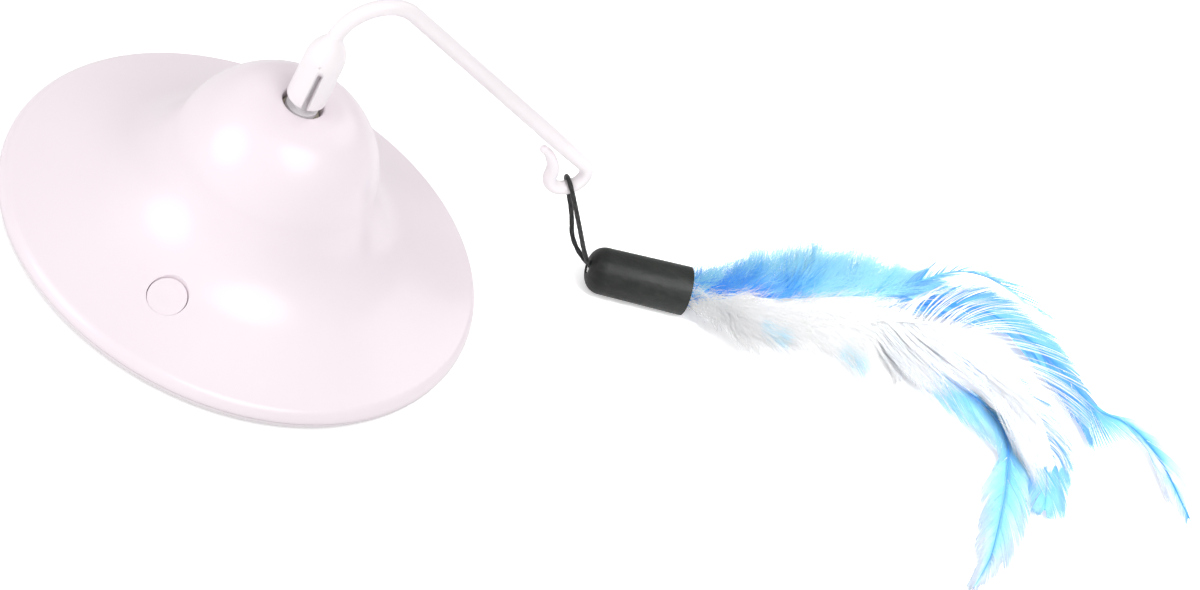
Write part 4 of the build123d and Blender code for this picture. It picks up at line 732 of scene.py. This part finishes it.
# Each kind of barb: its colours along the shade, and how much light goes through it and past it
barbLooks = {
    "blueDownBarbs": {
        "colours": [(0.0, deepAzure), (0.3, azure), (0.62, sky), (0.9, cyan)], "paleTip": 0.25,
        "tipColour": cyan, "roughness": 0.7, "through": 0.25, "airy": 0.12, "sheen": 0.15, "streaks": 1.0,
        "streakScale": 150},
    "whiteDownBarbs": {
        "colours": [(0.0, cyan), (0.12, paleBlue), (0.3, softWhite), (1.0, (0.985, 0.985, 0.985))],
        "paleTip": 0.3, "tipColour": (0.985, 0.985, 0.99), "roughness": 0.75, "through": 0.12, "airy": 0.2,
        "sheen": 1.0, "streaks": 0.1},
    "plumeBarbs": {
        "colours": [(0.0, coolGrey), (0.35, (0.9, 0.94, 0.97)), (1.0, (0.87, 0.89, 0.925))], "paleTip": 0.4,
        "tipColour": (0.88, 0.9, 0.93), "roughness": 0.5, "through": 0.35, "airy": 0.3, "sheen": 0.9,
        "streaks": 0.25},
    "hackleBarbs": {
        "colours": [
            (0.0, (0.03, 0.27, 0.9)), (0.35, (0.09, 0.44, 0.98)), (0.65, (0.24, 0.66, 1.0)),
            (1.0, (0.88, 0.91, 0.99))],
        "paleTip": 0.12, "tipColour": paleBlue, "roughness": 0.45, "through": 0.45, "airy": 0.2, "sheen": 0.5,
        "streaks": 0.3},
    "skyBarbs": {
        "colours": [
            (0.0, (0.08, 0.42, 0.97)), (0.4, (0.2, 0.62, 0.97)), (0.7, (0.34, 0.74, 0.96)),
            (1.0, (0.74, 0.82, 0.93))],
        "paleTip": 0.2, "tipColour": (0.82, 0.9, 0.98), "roughness": 0.45, "through": 0.45, "airy": 0.25,
        "sheen": 0.5, "streaks": 0.3},
}
barbs = {name: barbMaterial(name, look) for name, look in barbLooks.items()}

# What feathers share unless their own settings say otherwise
barbShape = {
    "rings": 8,
    "steps": 240,  # along the stem
    "stemSides": 8,
    "vaneTo": 0.995,  # share of the stem at which its last barbs stand
    "lockShift": 0.37,  # in locks, so that the two sides' locks part at different places
    "rootTurn": 0.3,  # share of its lock's turn that a barb has at its root
    "leastAngle": 2,  # degrees
    "leastReach": 0.12,  # least share of a barb's length that counts as running outwards
    "lengthSpread": (0.93, 1.04),
    "longestLock": 1.05,
    "longest": 0.16,
    "arch": 0.0006,
    "lowest": 0.0006,
    "stray": 1.2,
    "barbWidth": 0.00042,
    "taper": 2.0,
    "thinning": 0.85,
    "flatness": 0.35,
    "shadeSpread": 0.03,
    "shadePower": 0.6,
}


# A feather: barbs leave the stem at an angle that falls towards its tip, bend on towards the tip as they go,
# end on the vane's edge, and hang together in locks that part from each other; heights add the vane's arch.
# Places but for their heights, a vane's widths, longest and tipPast are shares of the lure's span, and other
# sizes are metres and degrees. A vane is stations on the stem, and the widths of its two sides there
def feather(name, ownLook, material, node):
    look = barbShape | ownLook
    random = np.random.default_rng(look["seed"])
    span, rings, steps = lure["span"], look["rings"], look["steps"]
    line = smoothLine([(x * span, y * span, z) for x, y, z in look["places"]], steps)
    ahead = unit(np.gradient(line, axis=0))
    level = unit(np.cross((0, 0, 1), ahead))
    stations = np.linspace(0, 1, steps)
    stemRadii = np.interp(stations, (0, 0.5, 1), look["stem"])[:, None]
    stemPoints, (stemQuads, *stemCaps) = tube(line, stemRadii, look["stemSides"])
    allPoints, quads, tips = [stemPoints], [stemQuads], []
    shades, reaches = [np.full(len(stemPoints), look["stemShade"])], [np.zeros(len(stemPoints))]
    used = len(stemPoints)
    s = np.linspace(0, 1, rings)[None, :]
    for side in (1, -1):
        count = look["barbs"][0 if side > 0 else 1]
        t = np.sort(random.uniform(look["vaneFrom"], look["vaneTo"], count))
        lock = np.floor(t * look["locks"] + side * look["lockShift"]).astype(int)
        drawn = look["locks"] + 3
        lockTurn = random.normal(0, look["lockTurn"], drawn)[lock]
        lockLength = random.uniform(look["lockLength"], look["longestLock"], drawn)[lock]
        lockLift = random.normal(0, look["lockLift"], drawn)[lock]
        lockShade = random.normal(0, look["lockShade"], drawn)[lock]
        stationAt, leftWidths, rightWidths = look["vane"]
        halfWidth = np.interp(t, stationAt, leftWidths if side > 0 else rightWidths) * span
        leave = np.interp(t, (look["vaneFrom"], 1), look["leave"]) + lockTurn * look["rootTurn"]
        leave = leave + random.normal(0, look["stray"], count)
        bend = np.interp(t, (look["vaneFrom"], 1), look["bend"])
        angle = leave[:, None] - bend[:, None] * s + lockTurn[:, None] * s
        angle = np.radians(np.maximum(angle, look["leastAngle"]))
        reachOut = np.sin(angle).mean(1)
        length = np.minimum(halfWidth / np.maximum(reachOut, look["leastReach"]), look["longest"] * span)
        length = length * lockLength
        left = (1 - t) * np.linalg.norm(np.diff(line, axis=0), axis=1).sum() + look["tipPast"] * span
        length = np.minimum(length, left / np.cos(angle).mean(1))
        length = length * random.uniform(*look["lengthSpread"], count)
        step = length[:, None] / (rings - 1)
        forward = np.concatenate([np.zeros((count, 1)), np.cumsum(np.cos(angle[:, :-1]), 1)], 1) * step
        outward = np.concatenate([np.zeros((count, 1)), np.cumsum(np.sin(angle[:, :-1]), 1)], 1) * step
        root = readAlong(t, stations, line)
        onward = unit(readAlong(t, stations, ahead))
        beside = unit(readAlong(t, stations, level)) * side
        lines = root[:, None] + onward[:, None] * forward[..., None] + beside[:, None] * outward[..., None]
        lines[..., 2] += look["arch"] * 4 * s * (1 - s) + (look["edgeDrop"] + lockLift[:, None]) * s
        lines[..., 2] = np.maximum(lines[..., 2], look["lowest"])
        run = unit(np.gradient(lines, axis=1))
        flat = unit(np.cross((0, 0, 1), run))
        widths = look["barbWidth"] * (1 - s**look["taper"] * look["thinning"])
        allPoints.append(strandPoints(lines, flat, np.cross(run, flat), widths, look["flatness"]))
        barbQuads, *barbTips = strandFaces(count, rings)
        quads.append(barbQuads + used)
        tips += [tip + used for tip in barbTips]
        used += len(allPoints[-1])
        shade = np.interp(t, *look["shade"]) + lockShade + random.normal(0, look["shadeSpread"], count)
        shade = shade[:, None] + np.interp(t, *look["edgeShade"])[:, None] * s ** look["shadePower"]
        shades.append(onCorners(shade))
        reaches.append(onCorners(np.broadcast_to(s, shade.shape)))
    faces = [np.concatenate(quads), np.concatenate(tips), *stemCaps]
    piece = putMesh(name, fromLure(np.concatenate(allPoints)), faces, "lure", material, {
        "shade": np.concatenate(shades), "reach": np.concatenate(reaches)})
    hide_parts(node)
    print(name, len(faces[0]) * 2 + len(faces[1]), "triangles")


# What the two clumps of down share
strandShape = {
    "strands": 5200,
    "rings": 7,
    "steps": 200,  # along the core line
    "lastStart": 0.9,
    "runSpread": (0.8, 1.15),  # each strand's run and fill as a share of its lock's
    "fillSpread": (0.82, 1.12),
    "pastScale": 0.4,
    "waver": (0.5, 1.7),
    "bundleEnd": 0.25,
    "lowest": 0.0004,
    "strandWidth": 0.0003,
    "thinning": 0.8,
    "flatness": 0.8,
    "aside": (0.2, 0.3, 0.93),  # what the strands' first turn is measured from
}


# Down: strands in locks start along a core line, run on and outwards to the clump's edge and waver;
# fill is the share of the clump's half width and half height that a lock's tips reach.
# A patch is a place, a size and how much it changes the shade
def down(name, ownLook, material, node):
    look = strandShape | ownLook
    random = np.random.default_rng(look["seed"])
    span, rings, locks, count = lure["span"], look["rings"], look["locks"], look["strands"]
    steps = look["steps"]
    stations = np.linspace(0, 1, steps)
    core = smoothLine([(x * span, y * span, z) for x, y, z in look["places"]], steps)
    ahead = unit(np.gradient(core, axis=0))
    level = unit(np.cross((0, 0, 1), ahead))
    wide = np.interp(stations, look["stations"], look["halfWidths"]) * span
    high = np.interp(stations, look["stations"], look["halfHeights"]) * span
    s = np.linspace(0, 1, rings)[None, :]
    lock = random.integers(0, locks, count)
    lockStart = random.uniform(0, 1, locks) * look["lastStart"]
    lockRun = random.uniform(*look["run"], locks)
    lockAngle = random.normal(look["lean"], look["leanSpread"], locks)
    lockFill = np.sqrt(random.uniform(look["fill"] ** 2, 1, locks))
    lockShade = random.normal(0, look["lockShade"], locks)
    start = np.clip(lockStart[lock] + random.normal(0, look["rootSpread"], count), 0, 1)[:, None]
    run = (lockRun[lock] * random.uniform(*look["runSpread"], count))[:, None]
    angle = np.radians(lockAngle[lock] + random.normal(0, look["strandSpread"], count))[:, None]
    fill = (lockFill[lock] * random.uniform(*look["fillSpread"], count))[:, None]
    t = start + run * s
    inside = np.clip(t, 0, 1)
    centre = readAlong(inside, stations, core)
    along = unit(readAlong(inside, stations, ahead))
    beside = unit(readAlong(inside, stations, level))
    spread = s ** look["spreadPower"]
    rootSide = look["rootSide"] * (1 - spread)
    bundle = look["mouthRadius"] * np.maximum(1 - t / look["bundleEnd"], 0)
    packed, bearing = np.sqrt(random.uniform(0, 1, (count, 1))), random.uniform(0, 2 * math.pi, (count, 1))
    sideways = np.interp(inside, stations, wide) * (rootSide + fill * np.cos(angle) * spread)
    sideways = sideways + bundle * packed * np.cos(bearing)
    upward = np.interp(inside, stations, high) * fill * np.sin(angle) * spread
    upward = upward + bundle * packed * np.sin(bearing)
    past = np.maximum(t - 1, 0) * look["pastScale"] * span
    phase = random.uniform(0, 2 * math.pi, (count, 2))
    beat = random.uniform(*look["waver"], (count, 2))
    sway = look["swayWidth"] * s * np.sin(2 * math.pi * beat[:, :1] * s + phase[:, :1])
    heave = look["swayWidth"] * s * np.cos(2 * math.pi * beat[:, 1:] * s + phase[:, 1:])
    lines = centre + along * past[..., None] + beside * (sideways + sway)[..., None]
    lines[..., 2] += upward + heave
    floorAt = look["lowest"]
    lines[..., 2] = floorAt + np.maximum(lines[..., 2] - floorAt, 0)
    # In the sleeve's bore the strands keep off its wall, and past its mouth they are free
    axis = np.array([0.0, lure["mouthHeight"]])
    across = lines[..., 1:] - axis
    room = np.interp(lines[..., 0], lure["boreTo"], lure["boreRoom"])
    held = np.minimum(1, room / np.maximum(np.linalg.norm(across, axis=-1), 1e-9))
    lines[..., 1:] = axis + across * held[..., None]
    # Each strand is turned about itself, so that the clump has no common grain
    turn = random.uniform(0, 2 * math.pi, (count, 1, 1))
    runWay = unit(np.gradient(lines, axis=1))
    flat = unit(np.cross(runWay, look["aside"]))
    above = np.cross(flat, runWay)
    flat, above = flat * np.cos(turn) + above * np.sin(turn), above * np.cos(turn) - flat * np.sin(turn)
    widths = look["strandWidth"] * (1 - look["thinning"] * s)
    points = strandPoints(lines, flat, above, widths, look["flatness"])
    shade = np.interp(start, *look["shade"]) + lockShade[lock][:, None] + look["edgeShade"] * s
    for place, size, depth in look["patches"]:
        away = np.hypot(lines[..., 0] / span - place[0], lines[..., 1] / span - place[1]) / size
        shade = shade + depth * np.exp(-(away**2))
    piece = putMesh(name, fromLure(points), strandFaces(count, rings), "lure", material, {
        "shade": onCorners(shade), "reach": onCorners(np.broadcast_to(s, shade.shape))})
    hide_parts(node)
    print(name, count * (6 * (rings - 1) + 2), "triangles")


# Blue down on the far side of the quills, its core low and its strands swept up and away from it
blueDown = {
    "seed": 4, "locks": 170,
    "places": [
        (-0.03, -0.004, 0.0091), (0.05, 0.03, 0.0095), (0.1, 0.058, 0.010), (0.16, 0.077, 0.0105),
        (0.22, 0.1, 0.0105), (0.28, 0.124, 0.0105), (0.36, 0.155, 0.0095), (0.43, 0.172, 0.008),
        (0.51, 0.183, 0.006)],
    "stations": (0, 0.16, 0.25, 0.36, 0.47, 0.58, 0.73, 0.86, 1),
    "halfWidths": (0.024, 0.046, 0.064, 0.08, 0.084, 0.084, 0.082, 0.07, 0.04),
    "halfHeights": (0.02, 0.034, 0.044, 0.05, 0.052, 0.05, 0.046, 0.034, 0.018), "run": (0.05, 0.2),
    "lean": 50, "leanSpread": 65, "strandSpread": 9, "fill": 0.4, "rootSpread": 0.012, "rootSide": -0.6,
    "spreadPower": 0.9, "swayWidth": 0.0017, "mouthRadius": 0.0062,
    "shade": ((0, 0.06, 0.16, 0.4, 0.6, 1), (-0.1, 0.25, 0.5, 0.62, 0.92, 0.98)), "lockShade": 0.36,
    "edgeShade": 0.42,
    "patches": [((0.06, 0.01), 0.03, -0.5), ((0.125, 0.03), 0.035, -0.7), ((0.19, 0.065), 0.03, -0.7)],
}
down("blueMarabou", blueDown, barbs["blueDownBarbs"], "blue_marabou")

# White down on the near side, with the blue that shows in it
whiteDown = {
    "seed": 9, "locks": 220,
    "places": [
        (-0.03, -0.008, 0.0091), (0.05, -0.024, 0.0095), (0.1, -0.036, 0.010), (0.16, -0.04, 0.010),
        (0.22, -0.03, 0.0105), (0.28, -0.015, 0.0105), (0.35, -0.005, 0.010), (0.42, -0.008, 0.0085),
        (0.49, -0.03, 0.006)],
    "stations": (0, 0.16, 0.26, 0.37, 0.48, 0.6, 0.73, 0.86, 1),
    "halfWidths": (0.028, 0.065, 0.105, 0.115, 0.12, 0.125, 0.145, 0.145, 0.1),
    "halfHeights": (0.02, 0.03, 0.036, 0.04, 0.042, 0.042, 0.036, 0.028, 0.016), "run": (0.03, 0.22),
    "lean": 138, "leanSpread": 66, "strandSpread": 18, "fill": 0.35, "rootSpread": 0.02, "rootSide": 0.3,
    "spreadPower": 0.85, "swayWidth": 0.0018, "mouthRadius": 0.006, "shade": ((0, 1), (0.75, 0.85)),
    "lockShade": 0.08, "edgeShade": 0.1,
    "patches": [
        ((0.145, -0.068), 0.015, -1.1), ((0.18, -0.08), 0.017, -1.3), ((0.3, -0.085), 0.018, -1.2),
        ((0.33, -0.1), 0.02, -1.3), ((0.25, -0.075), 0.012, -0.6), ((0.06, -0.02), 0.03, -0.3)],
}
down("whiteMarabou", whiteDown, barbs["whiteDownBarbs"], "white_marabou")
print("down made")

# Quill part that all long feathers share, from the plug to where the down ends
quillPlaces = [(0.0, 0.0, 0.0085), (0.077, 0.003, 0.0082), (0.143, 0.008, 0.008), (0.29, 0.04, 0.0078)]
whitePlume = {
    "seed": 21, "rings": 9, "barbs": (180, 700), "locks": 30,
    "places": quillPlaces + [
        (0.38, 0.03, 0.013), (0.457, 0.035, 0.0155), (0.53, 0.03, 0.016), (0.615, -0.03, 0.0145),
        (0.672, -0.115, 0.011), (0.705, -0.21, 0.0065)],
    "vane": (
        (0.36, 0.42, 0.5, 0.6, 0.72, 0.86, 1), (0.03, 0.09, 0.13, 0.14, 0.125, 0.07, 0.01),
        (0.08, 0.19, 0.25, 0.23, 0.16, 0.06, 0.01)),
    "vaneFrom": 0.36, "leave": (64, 34), "bend": (36, 22), "stray": 3.0, "lockTurn": 6.0, "lockLength": 0.7,
    "lockLift": 0.0012, "lockShade": 0.12, "longest": 0.3, "tipPast": 0.02, "arch": 0.0015,
    "edgeDrop": -0.003, "barbWidth": 0.0004, "taper": 1.6, "stem": (0.0007, 0.00055, 0.00015),
    "stemShade": 0.8, "shade": ((0.45, 1), (0.95, 0.7)), "edgeShade": ((0, 1), (0.1, -0.1)),
}
feather("whitePlume", whitePlume, barbs["plumeBarbs"], "white_plume")

blueHackle = {
    "seed": 33, "barbs": (820, 900), "locks": 46,
    "places": quillPlaces + [
        (0.39, 0.09, 0.0085), (0.485, 0.13, 0.0085), (0.58, 0.145, 0.008), (0.665, 0.105, 0.007),
        (0.735, 0.038, 0.0065), (0.79, -0.03, 0.006), (0.846, -0.048, 0.006), (0.885, -0.08, 0.006),
        (0.925, -0.142, 0.005), (0.968, -0.242, 0.003)],
    "vane": (
        (0.38, 0.46, 0.56, 0.66, 0.76, 0.86, 0.93, 1), (0.04, 0.06, 0.045, 0.025, 0.022, 0.03, 0.012, 0.003),
        (0.03, 0.09, 0.13, 0.08, 0.036, 0.036, 0.014, 0.003)),
    "vaneFrom": 0.36, "leave": (40, 20), "bend": (20, 10), "lockTurn": 2.2, "lockLength": 0.86,
    "lockLift": 0.0004, "lockShade": 0.07, "tipPast": 0.01, "edgeDrop": -0.0012,
    "stem": (0.0007, 0.0006, 0.0003), "stemShade": 0.2,
    "shade": ((0.4, 0.62, 0.75, 0.9, 1), (0.3, 0.3, 0.22, 0.4, 0.6)),
    "edgeShade": ((0.4, 0.72, 0.78, 0.93, 1), (0.25, 0.25, 0.85, 0.8, 0.2)),
}
feather("blueHackle", blueHackle, barbs["hackleBarbs"], "blue_hackle")

skyFeather = {
    "seed": 45, "barbs": (820, 900), "locks": 44,
    "places": quillPlaces + [
        (0.42, 0.01, 0.0065), (0.529, -0.055, 0.006), (0.59, -0.105, 0.0055), (0.617, -0.165, 0.005),
        (0.617, -0.23, 0.0045), (0.607, -0.315, 0.004), (0.591, -0.4, 0.0035), (0.574, -0.474, 0.003),
        (0.541, -0.555, 0.002)],
    "vane": (
        (0.34, 0.4, 0.5, 0.56, 0.62, 0.68, 0.8, 0.92, 1),
        (0.006, 0.006, 0.01, 0.012, 0.055, 0.06, 0.038, 0.016, 0.004),
        (0.07, 0.11, 0.1, 0.06, 0.034, 0.045, 0.036, 0.018, 0.004)),
    "vaneFrom": 0.34, "leave": (42, 20), "bend": (18, 8), "lockTurn": 2.4, "lockLength": 0.84,
    "lockLift": 0.0004, "lockShade": 0.06, "tipPast": 0.01, "edgeDrop": -0.001, "lowest": 0.0005,
    "stem": (0.0007, 0.0005, 0.00015), "stemShade": 0.1,
    "shade": ((0.42, 0.6, 0.8, 1), (0.2, 0.3, 0.45, 0.65)), "edgeShade": ((0, 1), (0.6, 0.6)),
}
feather("skyFeather", skyFeather, barbs["skyBarbs"], "sky_feather")

smallFeather = {
    "seed": 52, "barbs": (560, 560), "locks": 24,
    "places": quillPlaces + [
        (0.45, 0.035, 0.0075), (0.56, 0.0, 0.007), (0.64, -0.04, 0.0065), (0.682, -0.1, 0.006),
        (0.692, -0.16, 0.0055), (0.69, -0.24, 0.005), (0.684, -0.32, 0.0045)],
    "vane": (
        (0.5, 0.62, 0.78, 0.92, 1), (0.01, 0.034, 0.048, 0.04, 0.014), (0.01, 0.032, 0.044, 0.034, 0.012)),
    "vaneFrom": 0.5, "leave": (42, 24), "bend": (18, 10), "lockTurn": 2.2, "lockLength": 0.86,
    "lockLift": 0.0003, "lockShade": 0.06, "longest": 0.12, "tipPast": 0.012, "arch": 0.0005,
    "edgeDrop": -0.0008, "lowest": 0.0005, "stem": (0.0007, 0.0005, 0.00018), "stemShade": 0.05,
    "shade": ((0.5, 0.85, 1), (0.05, 0.15, 0.5)), "edgeShade": ((0, 1), (0.2, 0.2)),
}
feather("smallFeather", smallFeather, barbs["skyBarbs"], "small_blue_feather")

wispFeather = {
    "seed": 61, "barbs": (120, 120), "locks": 9,
    "places": quillPlaces + [
        (0.4, 0.12, 0.0105), (0.473, 0.175, 0.0125), (0.536, 0.21, 0.0125), (0.61, 0.205, 0.012),
        (0.7, 0.155, 0.01)],
    "vane": ((0.5, 0.7, 0.85, 1), (0.02, 0.04, 0.03, 0.004), (0.02, 0.03, 0.02, 0.004)), "vaneFrom": 0.5,
    "leave": (30, 14), "bend": (14, 6), "stray": 2.5, "lockTurn": 4.0, "lockLength": 0.6, "lockLift": 0.0008,
    "lockShade": 0.15, "longest": 0.14, "tipPast": 0.02, "edgeDrop": 0.0, "barbWidth": 0.0003, "taper": 1.6,
    "stem": (0.0006, 0.0004, 0.0001), "stemShade": 0.6, "shade": ((0.5, 1), (0.35, 0.7)),
    "edgeShade": ((0, 1), (0.1, 0.1)),
}
feather("wispFeather", wispFeather, barbs["hackleBarbs"], "wisp_feather")
print("feathers made")
